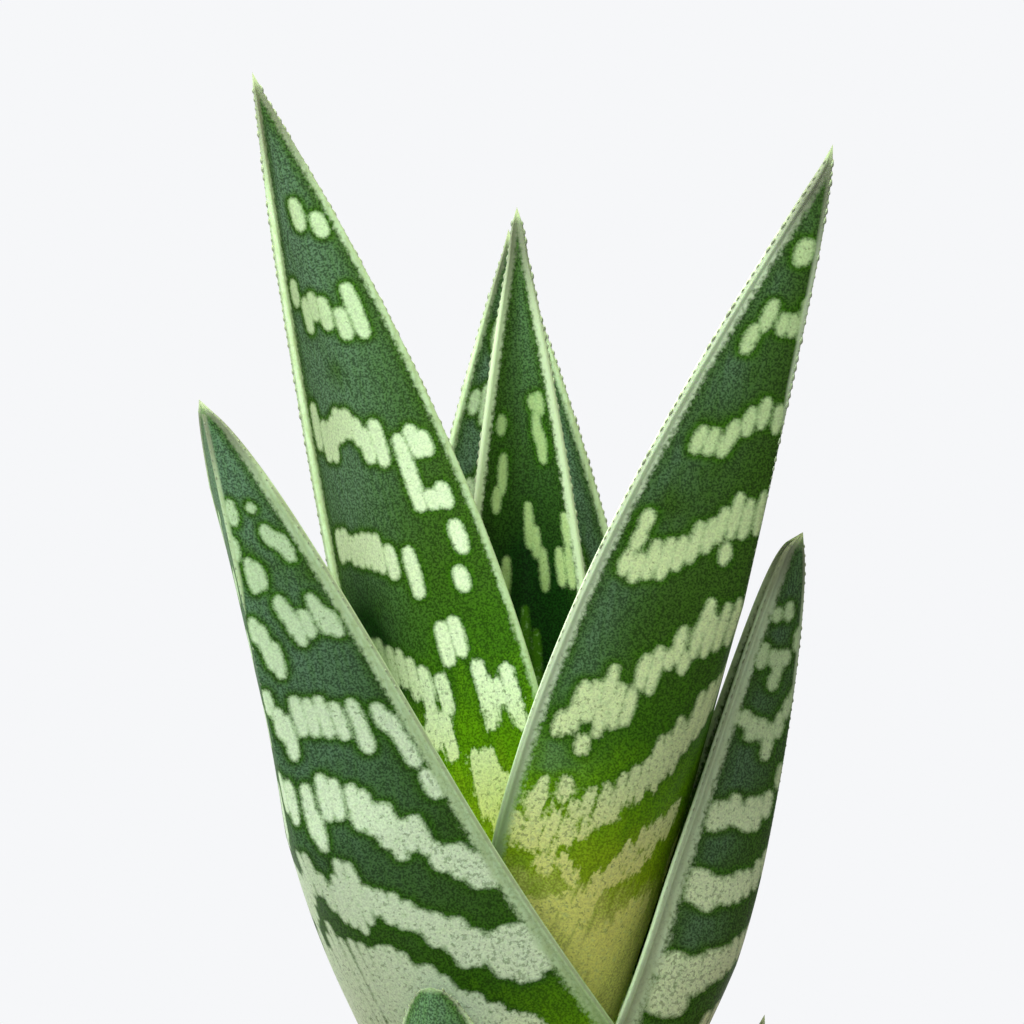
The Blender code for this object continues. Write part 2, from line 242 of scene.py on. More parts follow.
# The pale dashes of the faces that the photograph shows: across in tenths of a millimetre, place
# in thousandths of the leaf's length, and a dash's own length in tenths of a millimetre
INNER_LEFT_DASHES = (
    (-3, 903, 33), (-23, 892, 26),
    (36, 849, 27), (23, 831, 37), (10, 836, 29), (-3, 829, 34), (-20, 818, 33),
    (-35, 825, 59),
    (63, 748, 48), (51, 735, 42), (40, 733, 42), (31, 741, 30), (22, 744, 35),
    (14, 744, 28), (7, 743, 30), (-2, 735, 28),
    (-10, 722, 36), (-23, 722, 50),
    (-46, 692, 84), (-58, 716, 34), (-67, 712, 26), (-61, 666, 20), (-73, 667, 27),
    (-77, 630, 35), (-70, 594, 26),
    (77, 650, 34), (65, 650, 32), (54, 643, 30), (43, 641, 34), (32, 640, 36),
    (22, 637, 39), (12, 634, 41), (-2, 624, 36),
    (-24, 610, 54),
    (-38, 541, 46), (-52, 545, 42),
    (-66, 485, 74), (-78, 485, 26), (-91, 478, 68),
    (64, 550, 34), (52, 545, 42), (36, 535, 42), (22, 530, 40), (8, 518, 44),
    (-6, 505, 48), (-24, 496, 43), (-18, 456, 53), (-3, 465, 40), (10, 450, 40),
    (-42, 400, 70), (-54, 390, 85), (-66, 385, 40),
)
INNER_RIGHT_DASHES = (
    (-16, 930, 25), (-12, 931, 23),
    (-33, 881, 30), (-44, 861, 29), (-21, 877, 20), (-13, 878, 20), (-4, 884, 42),
    (-69, 778, 27), (-60, 779, 26), (-50, 778, 20), (-45, 790, 23), (-34, 801, 27),
    (-23, 810, 30), (-10, 808, 28), (4, 810, 30), (18, 825, 32),
    (-97, 706, 20), (-100, 690, 22), (-106, 668, 26), (-98, 665, 28), (-88, 675, 40),
    (-78, 678, 42), (-68, 685, 34), (-58, 697, 42), (-48, 705, 34), (-40, 716, 34),
    (-32, 693, 20), (-30, 726, 46), (-20, 725, 40), (-8, 732, 44), (8, 735, 40),
    (25, 740, 40),
    (-130, 512, 24), (-124, 517, 26), (-120, 537, 42), (-112, 540, 40),
    (-103, 542, 76), (-94, 540, 46), (-85, 542, 38), (-112, 496, 19),
    (-79, 577, 34), (-70, 580, 50), (-60, 592, 18), (-54, 608, 36), (-47, 592, 22),
    (-40, 616, 40), (-36, 638, 34), (-30, 620, 44), (-20, 630, 50), (-9, 636, 50),
    (4, 640, 50), (20, 645, 50),
    (-130, 432, 43), (-116, 447, 26), (-135, 390, 34), (-125, 394, 42), (-115, 400, 46),
    (-105, 414, 44), (-95, 427, 54), (-85, 441, 41), (-75, 450, 51), (-65, 464, 42),
    (-57, 472, 46), (-50, 494, 54), (-43, 493, 62), (-36, 509, 67), (-28, 509, 56),
    (-20, 537, 67), (-10, 549, 62), (-2, 558, 56), (8, 570, 50),
    (-108, 360, 22), (-96, 364, 17), (-89, 352, 14),
    (-102, 300, 23), (-92, 303, 33), (-82, 308, 40), (-74, 316, 52), (-66, 327, 58),
    (-60, 352, 35), (-53, 369, 34), (-47, 379, 44), (-38, 389, 56), (-28, 396, 54),
    (-18, 407, 48), (-8, 425, 36), (2, 430, 40),
    (-75, 210, 46), (-65, 225, 50), (-55, 241, 75), (-45, 257, 54), (-35, 252, 87),
    (-25, 260, 98), (-15, 287, 73), (-5, 300, 60), (5, 317, 44),
)
OUTER_LEFT_DASHES = (
    (9, 897, 24), (30, 899, 9),
    (40, 870, 20), (48, 862, 18), (53, 855, 28), (3, 862, 22), (16, 834, 34),
    (23, 832, 26),
    (37, 798, 22), (42, 784, 30), (47, 772, 30), (56, 777, 28), (68, 784, 42),
    (78, 772, 28), (6, 780, 24), (13, 770, 28), (16, 752, 24), (22, 747, 36),
    (3, 706, 24), (11, 683, 30), (18, 667, 44), (30, 687, 40), (41, 683, 38),
    (52, 681, 42), (64, 673, 38), (79, 670, 42), (82, 645, 20), (98, 667, 28),
    (106, 652, 32), (113, 626, 34), (124, 585, 30),
    (-5, 610, 40), (6, 600, 45), (24, 588, 56), (30, 565, 40), (40, 600, 46),
    (50, 595, 40), (65, 583, 46), (74, 575, 44), (83, 557, 44), (91, 548, 60),
    (101, 540, 32), (110, 537, 40), (119, 508, 30), (129, 497, 36), (137, 488, 50),
    (146, 478, 38),
    (-6, 518, 50), (5, 518, 48), (15, 496, 43), (25, 481, 43), (33, 484, 60),
    (41, 488, 84), (50, 490, 69), (60, 480, 31), (70, 470, 37), (80, 462, 39),
    (90, 452, 33), (100, 434, 41), (110, 425, 43), (116, 408, 53), (124, 407, 55),
    (132, 400, 33), (140, 379, 45), (148, 375, 60), (155, 375, 64), (163, 377, 53),
    (170, 371, 33),
    (-8, 380, 140), (5, 360, 140), (20, 359, 140), (33, 349, 150), (45, 341, 150),
    (55, 349, 140), (65, 336, 160), (75, 342, 130), (85, 327, 120), (93, 337, 100),
    (102, 320, 100), (110, 309, 80), (120, 301, 80), (130, 292, 60), (140, 275, 60),
    (150, 270, 50),
)
OUTER_RIGHT_DASHES = (
    (-30, 909, 13), (-18, 915, 17), (-4.5, 882, 22),
    (-38, 857, 25), (-28, 857, 14), (-16, 859, 14), (-22, 850, 26), (-25, 827, 15),
    (-52, 777, 12), (-44, 777, 15), (-37, 765, 24), (-29, 767, 20), (-21, 752, 36),
    (-13, 775, 24), (-7, 797, 18), (-1, 811, 20), (-2, 710, 24),
    (-53, 647, 30), (-47, 650, 28), (-40, 660, 30), (-34, 652, 22), (-27, 656, 34),
    (-20, 659, 34), (-11, 672, 26),
    (-59, 552, 34), (-54, 550, 36), (-50, 544, 34), (-44, 550, 26), (-37, 553, 28),
    (-29, 560, 30), (-21, 566, 26), (-11, 578, 30), (-2, 595, 26),
    (-70, 435, 20), (-68, 390, 36), (-64, 430, 40), (-62, 385, 30), (-56, 425, 40),
    (-56, 385, 24), (-50, 430, 42), (-44, 440, 42), (-37, 448, 36), (-30, 455, 34),
    (-22, 468, 34), (-12, 480, 30), (-4, 490, 26), (-26, 360, 30), (-14, 375, 30),
)
INNER_BACK_DASHES = (
    (-19, 837, 22), (-12, 838, 14), (-16, 815, 30), (-21, 797, 34),
    (22, 818, 20), (22, 772, 42), (29, 748, 26),
    (-5, 722, 48), (-12, 705, 32), (-20, 677, 44),
    (-45, 718, 34), (-38, 680, 40), (-48, 680, 44),
    (21, 672, 41), (2, 610, 60), (-10, 585, 60),
)

LEAVES = (
    Leaf(
        "leaf_heart",
        base=(-0.9, 0.7, 25.5),
        shoulder=(-1.6, 1.3, 38),
        tip=(0.6, 0.4, 52),
        turned=(145, 145),
        half_width=3.8,
        channel=(0.7, 0.6),
        thickness=3.2,
        dash=0.9,
    ),
    Leaf(
        "leaf_inner_left",
        base=(-4.1, 1.2, 20),
        shoulder=(-7.6, 2, 52),
        tip=(-30.1, 6, 128),
        turned=(170, 130),
        half_width=11.5,
        widest=0.44,
        neck=0.26,
        ripening=(0.74, 0.15),
        known=(UPPER, False, INNER_LEFT_DASHES),
        bloom=(0.45, 0.5, 1.0),
        bloom_start=0.44,
        painted_shadows=((0.62, 0.53, 0.8), (-0.6, 0.4, 0.12)),
        rim=0.45,
        slimming=0.2,
        dash=1.5,
        rounding=0.6,
    ),
    Leaf(
        "leaf_inner_right",
        base=(2.0, -4.2, 20.5),
        shoulder=(6.3, -8, 50),
        tip=(29.2, -20, 121),
        turned=(310, 325),
        half_width=14.0,
        widest=0.48,
        neck=0.24,
        taper=(1.8, 1.0),
        thickness=6.8,
        fattest=0.75,
        thinning=(0.35, 0.6),
        ripening=(0.7, 0.2),
        known=(UNDER, True, INNER_RIGHT_DASHES),
        aside=0.045,
        bloom=(-0.95, 0.2, 0.6),
        dash=1.05,
        rounding=0.2,
        slimming=0.4,
        specks=0.5,
        warmth=0.8,
    ),
    Leaf(
        "leaf_inner_back",
        base=(0.5, 5.6, 20),
        shoulder=(-1.0, 19, 48),
        tip=(-2.4, 14, 113.5),
        turned=(80, 90),
        half_width=8.0,
        neck=0.4,
        dash=1.0,
        known=(UPPER, False, INNER_BACK_DASHES),
        bloom=(-0.35, 0.35, 0.4),
        bloom_start=0.66,
        painted_shadows=((0.0, 0.6, 0.8),),
        rim=0.5,
        warmth=1.0,
        dimness=0.45,
    ),
    Leaf(
        "leaf_outer_left",
        base=(-3.5, -2.8, 8),
        shoulder=(-18.3, -13, 44),
        tip=(-34.2, -24, 95.5),
        turned=(218, 218),
        half_width=20.0,
        widest=0.2,
        neck=0.28,
        taper=(1.0, 0.62),
        thickness=6.6,
        thinning=(0.45, 1.0),
        known=(UNDER, True, OUTER_LEFT_DASHES),
        ripening=(0.56, 0.0),
        bloom=(0.3, 0.6, 0.75),
        bloom_start=0.36,
        dimness=0.17,
        teeth=0.5,
        specks=0.75,
        rim=0.45,
        dash=1.25,
    ),
    Leaf(
        "leaf_outer_right",
        base=(4.5, -1.5, 8),
        shoulder=(18.0, -5, 37),
        tip=(27.2, -5, 80.3),
        turned=(-16, 0),
        half_width=8.2,
        widest=0.3,
        neck=0.33,
        taper=(1.0, 0.34),
        channel=(0.42, 0.76),
        thickness=5.6,
        thinning=(0.55, 0.6),
        dash=1.05,
        warmth=0.4,
        known=(UNDER, True, OUTER_RIGHT_DASHES),
        bloom=(-0.8, 0.3, 0.6),
        teeth=0.6,
        rim=0.5,
        specks=0.75,
    ),
    Leaf(
        "leaf_outer_back",
        base=(-0.2, 5.1, 9),
        shoulder=(-1, 23, 40),
        tip=(-3.3, 25, 110.7),
        turned=(98, 90),
        half_width=15.5,
        neck=0.2,
        bloom=(0.0, 2.0, 0.9),
    ),
    Leaf(
        "leaf_low_front",
        base=(-2.2, -4.4, 3),
        shoulder=(-9, -18, 8),
        tip=(-11.3, -21, 35.9),
        turned=(243, 243),
        half_width=10,
        keel=1.0,
        roundness=13.5,
        spine=0.0,
        rim=0.0,
        dimness=0.12,
        bloom=(0.0, 2.0, 0.5),
        known=(UNDER, False, ((-26, 600, 30), (3, 560, 35), (24, 600, 25), (40, 550, 30))),
    ),
    Leaf("leaf_low_back", (-2.4, 4.3, 3), (-9, 18, 8), (-12, 24, 31), (118, 118), 9.5),
    Leaf("leaf_low_right", (4.6, 1.7, 3), (19, 6, 8), (24, 9, 27), (20, 20), 9.5),
)


def mix(low, high, share):
    return low + (high - low) * share


def smooth(share):
    share = np.clip(share, 0.0, 1.0)
    return share * share * (3 - 2 * share)


def steps_between(start, end, value):
    """Nought at the start, one at the end, and soft at both."""
    return smooth((value - start) / (end - start))


def middle_line(leaf, along):
    """Points of the middle line, and its direction there, for an array of shares."""
    base, shoulder, tip = (np.array(place, float) for place in (leaf.base, leaf.shoulder, leaf.tip))
    along = np.asarray(along, float)[:, None]
    back = 1 - along
    points = base * back**2 + shoulder * (2 * back * along) + tip * along**2
    forward = (shoulder - base) * back + (tip - shoulder) * along
    return points, forward / np.linalg.norm(forward, axis=1, keepdims=True)


def axes(leaf, along):
    """The leaf's own axes along it: across, and towards the upper face."""
    points, forward = middle_line(leaf, along)
    turn = np.radians(mix(*leaf.turned, smooth(along / TURN_SET)))
    inward = np.stack((-np.cos(turn), -np.sin(turn), np.zeros_like(turn)), axis=1)
    across = np.cross(inward, forward)
    across /= np.linalg.norm(across, axis=1, keepdims=True)
    return points, across, np.cross(forward, across)


def half_width(leaf, along):
    """Half the channel's width: it swells from the clasping base, then tapers to a point."""
    along = np.asarray(along, float)
    swelling = mix(leaf.neck, 1.0, np.sin(0.5 * math.pi * np.minimum(along / leaf.widest, 1.0)))
    share = np.clip((along - leaf.widest) / (1 - leaf.widest), 0.0, 1.0)
    tapering = (1 - share ** leaf.taper[0]) ** leaf.taper[1]
    return leaf.half_width * np.where(along < leaf.widest, swelling, tapering)


def length_along(leaf, along):
    """How far along the middle line each share is, in mm."""
    fine = np.linspace(0, 1, MEASURES)
    points, _ = middle_line(leaf, fine)
    reach = np.concatenate(([0], np.cumsum(np.linalg.norm(np.diff(points, axis=0), axis=1))))
    return np.interp(along, fine, reach), reach[-1]


def dashes_by_rule(leaf, face, top, draw):
    """Bands of dashes where none is known, from the top share down: a few millimetres apart,
    broken here and there, and on the underside falling from the keel to the margins."""
    dashes = []
    _, reach = length_along(leaf, np.array([0.0]))
    along = top
    while along > BANDS_BOTTOM:
        width = float(half_width(leaf, along)) - BAND_MARGIN
        size = draw.uniform(*DASH_LENGTH) + DASH_LENGTHENING * (1 - along)
        fall = draw.uniform(*BAND_DROP[face])
        joined = draw.random() < BAND_JOINED
        for side in (-1, 1):
            out = 0.5 * leaf.dash if joined else draw.uniform(*BAND_STARTS) * width
            end = draw.uniform(*BAND_ENDS) * width
            wander = draw.uniform(-WANDER_START, WANDER_START)
            while out < end:
                place = along - (fall * out + wander) / reach
                dashes.append((side * out, place, size * draw.uniform(*DASH_SIZES)))
                wander += draw.uniform(-WANDER_STEP, WANDER_STEP)
                out += leaf.dash * draw.choice(DASH_SPACING)
        along -= draw.uniform(*BAND_GAP) * (BAND_ROOM[0] + BAND_ROOM[1] * size) / reach
    return dashes


def all_dashes(leaf, face, draw):
    """The face's known dashes, with those that a rule adds on its other half and further down, or
    dashes by rule alone. Each is (across in mm, share of the length, length in mm)."""
    known_face, both_halves, table = leaf.known
    if face != known_face:
        return dashes_by_rule(leaf, face, draw.uniform(*BANDS_TOP), draw)
    known = [(across / 10, along / 1000, size / 10) for across, along, size in table]
    dashes = list(known)
    if both_halves:
        side = math.copysign(1.0, sum(across for across, _, _ in known))
        reached = max(-side * across for across, _, _ in known)
        for across, along, size in known:
            if side * across > reached + OTHER_HALF_CLEAR:
                shift = draw.uniform(-OTHER_HALF_SHIFT, OTHER_HALF_SHIFT)
                dashes.append((-across, along + shift, size * draw.uniform(*OTHER_HALF_SIZES)))
    lowest = min(along for _, along, _ in known)
    return dashes + dashes_by_rule(leaf, face, lowest - BAND_STEP, draw)


def distance_to_marks(leaf, dashes, across, along):
    """How far each place is from the nearest dash, in mm: less than nought inside. Dashes that
    touch run together softly, and each follows the leaf's taper."""
    reach, _ = length_along(leaf, along)
    width = half_width(leaf, along)
    total = np.zeros(across.shape)
    for middle_across, middle_along, size in dashes:
        place = np.interp(middle_along, along, reach)
        wider = 1 + DASH_WIDER * steps_between(*DASH_WIDENING, middle_along)
        radius = 0.5 * min(leaf.dash * wider, DASH_ROUNDEST * size)
        straight = max(0.5 * size - leaf.rounding * radius, 0.0)
        ends = (place - straight - DASH_REACH, place + straight + DASH_REACH)
        rows = slice(*np.searchsorted(reach, ends))
        from_middle = np.abs(reach[rows, None] - place)
        line = (middle_across / half_width(leaf, middle_along) + leaf.aside) * width[rows, None]
        away = np.hypot(across[rows] - line, np.maximum(from_middle - straight, 0.0))
        slimmed = np.minimum(from_middle / (0.5 * size), 1.0) ** 2
        total[rows] += np.exp(-(away - radius * (1 - leaf.slimming * slimmed)) / DASH_BLEND)
    nearest = -DASH_BLEND * np.log(np.maximum(total, TRACE))
    return np.where(total > TRACE, nearest, FAR)


@dataclass
class Blade:
    """A leaf's skin as a grid. Its rows go from base to tip, and each goes once round the leaf:
    the upper face, one margin, the underside and the other margin."""

    along: np.ndarray  # each row's share of the length
    places: np.ndarray  # in mm
    x: np.ndarray  # mm across, from the middle line
    wide: np.ndarray  # each row's half width in mm
    across: np.ndarray  # each row's own direction across the leaf
    up: np.ndarray  # and towards the upper face
    upper: slice  # the upper face's columns
    under: slice  # the underside's
    margins: tuple  # the two margins' middle columns


def blade_grid(leaf, cell):
    """The leaf's skin, with cells of about the size given in mm."""
    fine = np.linspace(0, TIP_END, ROW_MEASURES)
    reach, _ = length_along(leaf, fine)
    rows = max(FEWEST_CELLS[0], round(reach[-1] / cell))
    along = np.interp(np.linspace(0, reach[-1], rows), reach, fine)
    side = max(FEWEST_CELLS[1], round(leaf.half_width / (CELL_WIDTH * cell)))
    spread = np.linspace(-1, 1, 2 * side + 1)
    arc = np.radians(np.linspace(90, -90, MARGIN_CELLS + 1)[1:-1])

    wide = np.maximum(half_width(leaf, along), leaf.roundness * np.sqrt(1 - along))
    deep = wide * mix(*leaf.channel, smooth(along / CHANNEL_SET))
    thick = leaf.thickness * mix(BASE_THICKNESS, 1.0, smooth(along / leaf.fattest))
    thick = thick * np.minimum(1.0, (1 - along) / leaf.thinning[0]) ** leaf.thinning[1]
    rim = np.minimum(RIM_THICKNESS, 0.5 * thick + SHARP_TIP_RIM)
    sharp = smooth((along - leaf.keel + KEEL_LEAD) / KEEL_SET)
    round_under = mix(*UNDER_ROUNDING, sharp)[:, None]
    round_upper = mix(*UPPER_ROUNDING, smooth(along / TURN_SET))[:, None]
    wide, deep, thick, rim = (value[:, None] for value in (wide, deep, thick, rim))
    fall = deep - rim + thick

    upper_x, under_x = wide * spread, wide * spread[::-1]
    upper_y = deep * np.abs(spread) ** round_upper
    under_y = deep - rim - fall * (1 - np.abs(spread[::-1]) ** round_under)
    margin_x = wide + 0.5 * rim * np.cos(arc)
    margin_y = deep - 0.5 * rim + 0.5 * rim * np.sin(arc)
    x = np.concatenate((upper_x, margin_x, under_x, -margin_x[:, ::-1]), axis=1)
    y = np.concatenate((upper_y, margin_y, under_y, margin_y[:, ::-1]), axis=1)
    points, across, up = axes(leaf, along)
    places = points[:, None] + across[:, None] * x[..., None] + up[:, None] * y[..., None]
    upper = slice(0, len(spread))
    under = slice(upper.stop + len(arc), upper.stop + len(arc) + len(spread))
    margins = (upper.stop + len(arc) // 2, under.stop + len(arc) // 2)
    return Blade(along, places, x, wide, across, up, upper, under, margins)


def skin_values(leaf, blade, draw):
    """What the skin's material reads at each place. In mm: how far it is from a pale mark, inside
    the margin's edge, from the keel, and out on the margin (brink). From nought to one: its share
    of the length, how ripe, warm and specked it is, how thick its wax with a painted sheen is,
    and how deep its painted shade is."""
    x, under = blade.x, blade.under
    over_width = x / blade.wide
    share = np.repeat(blade.along[:, None], x.shape[1], axis=1)
    mark = np.full(x.shape, FAR)
    for face, where in ((UPPER, blade.upper), (UNDER, under)):
        dashes = all_dashes(leaf, face, draw)
        mark[:, where] = distance_to_marks(leaf, dashes, x[:, where], blade.along)
    margin = blade.wide - np.abs(x) - leaf.rim
    keel = np.full(x.shape, FAR)
    risen = steps_between(*(leaf.keel + lag for lag in KEEL_PALES), blade.along[:, None])
    keel[:, under] = np.abs(x[:, under]) + KEEL_FAINT * (1 - risen)
    # wax with a painted sheen: bluish across the leaf where light falls on it
    thickest, spread, thickness = leaf.bloom
    spread = spread * (1 + WAX_AND_SHEEN_WIDENS * steps_between(*WAX_AND_SHEEN_WIDENING, share))
    bloom = thickness * np.exp(-(((over_width - thickest) / spread) ** 2))
    # painted shade over the whole leaf, as on one that lies in shadow
    dim = np.full(x.shape, leaf.dimness)
    # painted shadows: darker patches where a nearer leaf shades this one
    for beside, place, deep in leaf.painted_shadows:
        away = ((over_width - beside) / PAINTED_SHADOW_SPREAD) ** 2 + ((share - place) / PAINTED_SHADOW_LENGTH) ** 2
        dim += deep * np.exp(-away)
    return {
        "mark": mark,
        "margin": margin,
        "share": share,
        "ripe": 1 - steps_between(*reversed(leaf.ripening), share),
        "keel": keel,
        "bloom": bloom * steps_between(leaf.bloom_start, leaf.bloom_start + WAX_AND_SHEEN_RISE, share),
        "warm": np.full(x.shape, leaf.warmth),
        "dim": dim,
        "specks": leaf.specks * steps_between(*SPECKS_FADE, margin),
        "brink": np.maximum(np.abs(x) - blade.wide, 0.0),
    }


def leaf_mesh(leaf, cell, seed):
    """The blade's mesh, with the skin's values and map, and the lines that bear teeth."""
    blade = blade_grid(leaf, cell)
    rows, columns = blade.x.shape
    index = np.arange(rows * columns).reshape(rows, columns)
    after = np.roll(index, -1, axis=1)
    quads = np.stack((index[:-1], after[:-1], after[1:], index[1:]), axis=2)
    faces = quads.reshape(-1, 4).tolist()
    faces += [(left, right, index.size) for left, right in zip(index[-1].tolist(), after[-1].tolist())]
    faces += base_faces(index[0].tolist(), blade)
    tip_point, forward = middle_line(leaf, [1.0])
    vertices = np.vstack((blade.places.reshape(-1, 3), tip_point + leaf.spine * forward))

    mesh = bpy.data.meshes.new(leaf.name + "_skin")
    mesh.from_pydata((vertices * MM + np.array((0, 0, SOIL_TOP * MM))).tolist(), [], faces)
    for name, values in skin_values(leaf, blade, random.Random(seed)).items():
        store(mesh, name, "FLOAT", np.append(values.ravel(), values[-1, 0]).astype(np.float32))
    store_skin_map(mesh, leaf, blade)
    store_tooth_lines(mesh, leaf, blade, index)
    tidy_normals(mesh)
    return mesh


def base_faces(ring, blade):
    """The hollowed end by the stem, closed by strips from the upper face to the underside."""
    upper = ring[blade.upper]
    under = ring[blade.under][::-1]
    faces = [
        (upper[left + 1], upper[left], under[left], under[left + 1]) for left in range(len(upper) - 1)
    ]
    faces.append(ring[blade.upper.stop - 1 : blade.under.start + 1][::-1])
    faces.append((ring[blade.under.stop - 1 :] + ring[:1])[::-1])
    return faces


def store(mesh, name, kind, values, domain="POINT"):
    """Keep values on a mesh's points or edges, for materials and node trees to read."""
    field = "vector" if kind == "FLOAT_VECTOR" else "value"
    mesh.attributes.new(name, kind, domain).data.foreach_set(field, values)


def store_skin_map(mesh, leaf, blade):
    """A UV map of the skin: across the leaf, and along it."""
    reach, _ = length_along(leaf, blade.along)
    places = np.stack((blade.x, np.repeat(reach[:, None], blade.x.shape[1], axis=1)), axis=2)
    places[:, blade.under, 0] += UNDERSIDE_SHIFT
    places = places.reshape(-1, 2)
    places = np.vstack((places, places[-1:])) * (MM / UV_UNIT)
    corners = np.empty(len(mesh.loops), dtype=np.int32)
    mesh.loops.foreach_get("vertex_index", corners)
    layer = mesh.uv_layers.new(name="skin")
    layer.data.foreach_set("uv", places[corners].astype(np.float32).ravel())


def store_tooth_lines(mesh, leaf, blade, index):
    """Mark the edges of the margins and of the upper keel as toothed, and store on their points
    the way a tooth stands and how large it is there."""
    outward = np.zeros((len(mesh.vertices), 3), dtype=np.float32)
    growth = np.zeros(len(mesh.vertices), dtype=np.float32)
    right, left = blade.margins
    keel = (blade.under.start + blade.under.stop) // 2
    keel_starts = leaf.keel + KEEL_TEETH_START
    keel_rise = (leaf.keel, leaf.keel + KEEL_TEETH_RISE)
    toothed_next = {}
    for column, start, rise, stands in (
        (right, MARGIN_TEETH_START, MARGIN_TEETH_RISE, blade.across),
        (left, MARGIN_TEETH_START, MARGIN_TEETH_RISE, -blade.across),
        (keel, keel_starts, keel_rise, -blade.up),
    ):
        first = int(np.searchsorted(blade.along, start))
        line = index[first:, column]
        outward[line] = stands[first:]
        grown_up = steps_between(*rise, blade.along[first:])
        growth[line] = leaf.teeth * mix(SMALLEST_TOOTH, 1.0, grown_up)
        toothed_next.update(zip(line[:-1].tolist(), line[1:].tolist()))
    store(mesh, "outward", "FLOAT_VECTOR", outward.ravel())
    store(mesh, "growth", "FLOAT", growth)
    ends = np.empty(2 * len(mesh.edges), dtype=np.int32)
    mesh.edges.foreach_get("vertices", ends)
    pairs = ends.reshape(-1, 2).tolist()
    toothed = [toothed_next.get(a) == b or toothed_next.get(b) == a for a, b in pairs]
    store(mesh, "toothed", "BOOLEAN", toothed, domain="EDGE")


def mesh_from(bm, name):
    """The mesh of a finished bmesh, which is freed."""
    mesh = bpy.data.meshes.new(name)
    bm.to_mesh(mesh)
    bm.free()
    return mesh


def tidy_normals(mesh):
    """Turn every face outwards, and shade the mesh smooth."""
    bm = bmesh.new()
    bm.from_mesh(mesh)
    bmesh.ops.recalc_face_normals(bm, faces=bm.faces)
    bm.to_mesh(mesh)
    bm.free()
    mesh.shade_smooth()


def add_object(name, mesh, *materials):
    made = bpy.data.objects.new(name, mesh)
    bpy.context.scene.collection.objects.link(made)
    for material in materials:
        mesh.materials.append(material)
    return made


class Tree:
    """Short calls that build one node tree. A number or colour given as an input is set on it,
    and a socket is linked to it."""

    def __init__(self, nodes_of):
        self.tree = nodes_of

    def add(self, kind, inputs=None, **settings):
        node = self.tree.nodes.new(kind)
        for name, value in settings.items():
            setattr(node, name, value)
        for name, value in (inputs or {}).items():
            self.put(node.inputs[name], value)
        return node

    def out(self, kind, inputs=None, **settings):
        """Add a node, and return its first output."""
        return self.add(kind, inputs, **settings).outputs[0]

    def put(self, target, value):
        if isinstance(value, bpy.types.NodeSocket):
            self.tree.links.new(value, target)
        else:
            target.default_value = value

    def maths(self, operation, *values):
        return self.out("ShaderNodeMath", dict(enumerate(values)), operation=operation)

    def times(self, a, b):
        return self.maths("MULTIPLY", a, b)


class Paint(Tree):
    """A material's node tree around one Principled BSDF."""

    def __init__(self, name):
        self.material = bpy.data.materials.new(name)
        self.material.use_nodes = True
        super().__init__(self.material.node_tree)
        self.shader = self.tree.nodes["Principled BSDF"]
        self.place = self.add("ShaderNodeTexCoord").outputs["Object"]

    def stored(self, name):
        return self.add("ShaderNodeAttribute", attribute_name=name).outputs["Fac"]

    def skin_map(self, across_size, along_size):
        """The leaf's own map, drawn out so that a pattern's spots have these sizes in metres."""
        uv = self.out("ShaderNodeUVMap", uv_map="skin")
        scale = (UV_UNIT / across_size, UV_UNIT / along_size, 1.0)
        return self.out("ShaderNodeMapping", {"Vector": uv, "Scale": scale})

    def noise(self, size=1.0, vector=None, detail=2.0, roughness=0.5):
        """Soft noise from nought to one, with spots of the size given in metres."""
        inputs = {"Vector": vector or self.place, "Detail": detail, "Roughness": roughness}
        return self.add("ShaderNodeTexNoise", {**inputs, "Scale": 1.0 / size}).outputs["Fac"]

    def sum(self, a, b, times=1.0):
        """a plus b, times a number or value."""
        return self.maths("MULTIPLY_ADD", b, times, a)

    def uneven(self, value, noise, times):
        """A value that a noise raises and lowers by up to half of times."""
        return self.sum(value, self.sum(-0.5, noise), times)

    def between(self, value, low, high, to_low=0.0, to_high=1.0):
        """Map a value softly from low..high to the range given."""
        names = ("Value", "From Min", "From Max", "To Min", "To Max")
        inputs = dict(zip(names, (value, low, high, to_low, to_high)))
        return self.out("ShaderNodeMapRange", inputs, interpolation_type="SMOOTHSTEP")

    def colour(self, share, a, b, blend="MIX"):
        node = self.add("ShaderNodeMix", data_type="RGBA", blend_type=blend)
        self.put(node.inputs[0], share)
        for socket, value in ((node.inputs[6], a), (node.inputs[7], b)):
            self.put(socket, value if isinstance(value, bpy.types.NodeSocket) else (*value, 1.0))
        return node.outputs[2]

    def layers(self, colour, *over):
        """A colour with others laid over it in turn, each given as (share, colour)."""
        for share, other in over:
            colour = self.colour(share, colour, other)
        return colour

    def ramp(self, share, *stops):
        """A colour ramp with (place, colour) stops."""
        node = self.add("ShaderNodeValToRGB", {"Fac": share})
        band = node.color_ramp
        while len(band.elements) < len(stops):
            band.elements.new(1.0)
        for element, (place, colour) in zip(band.elements, stops):
            element.position = place
            element.color = (*colour, 1.0)
        return node.outputs["Color"]

    def bumps(self, *layers):
        """A normal from (height, distance in mm, strength) layers."""
        normal = None
        for height, distance, strength in layers:
            inputs = {"Height": height, "Distance": distance * MM, "Strength": strength}
            if normal:
                inputs["Normal"] = normal
            normal = self.out("ShaderNodeBump", inputs)
        return normal

    def finish(self, **inputs):
        """Set the shader's inputs, named with spaces for underscores."""
        for name, value in inputs.items():
            socket = self.shader.inputs[name.replace("_", " ")]
            if isinstance(value, tuple) and len(value) == 3 and socket.type == "RGBA":
                value = (*value, 1.0)
            self.put(socket, value)
        return self.material


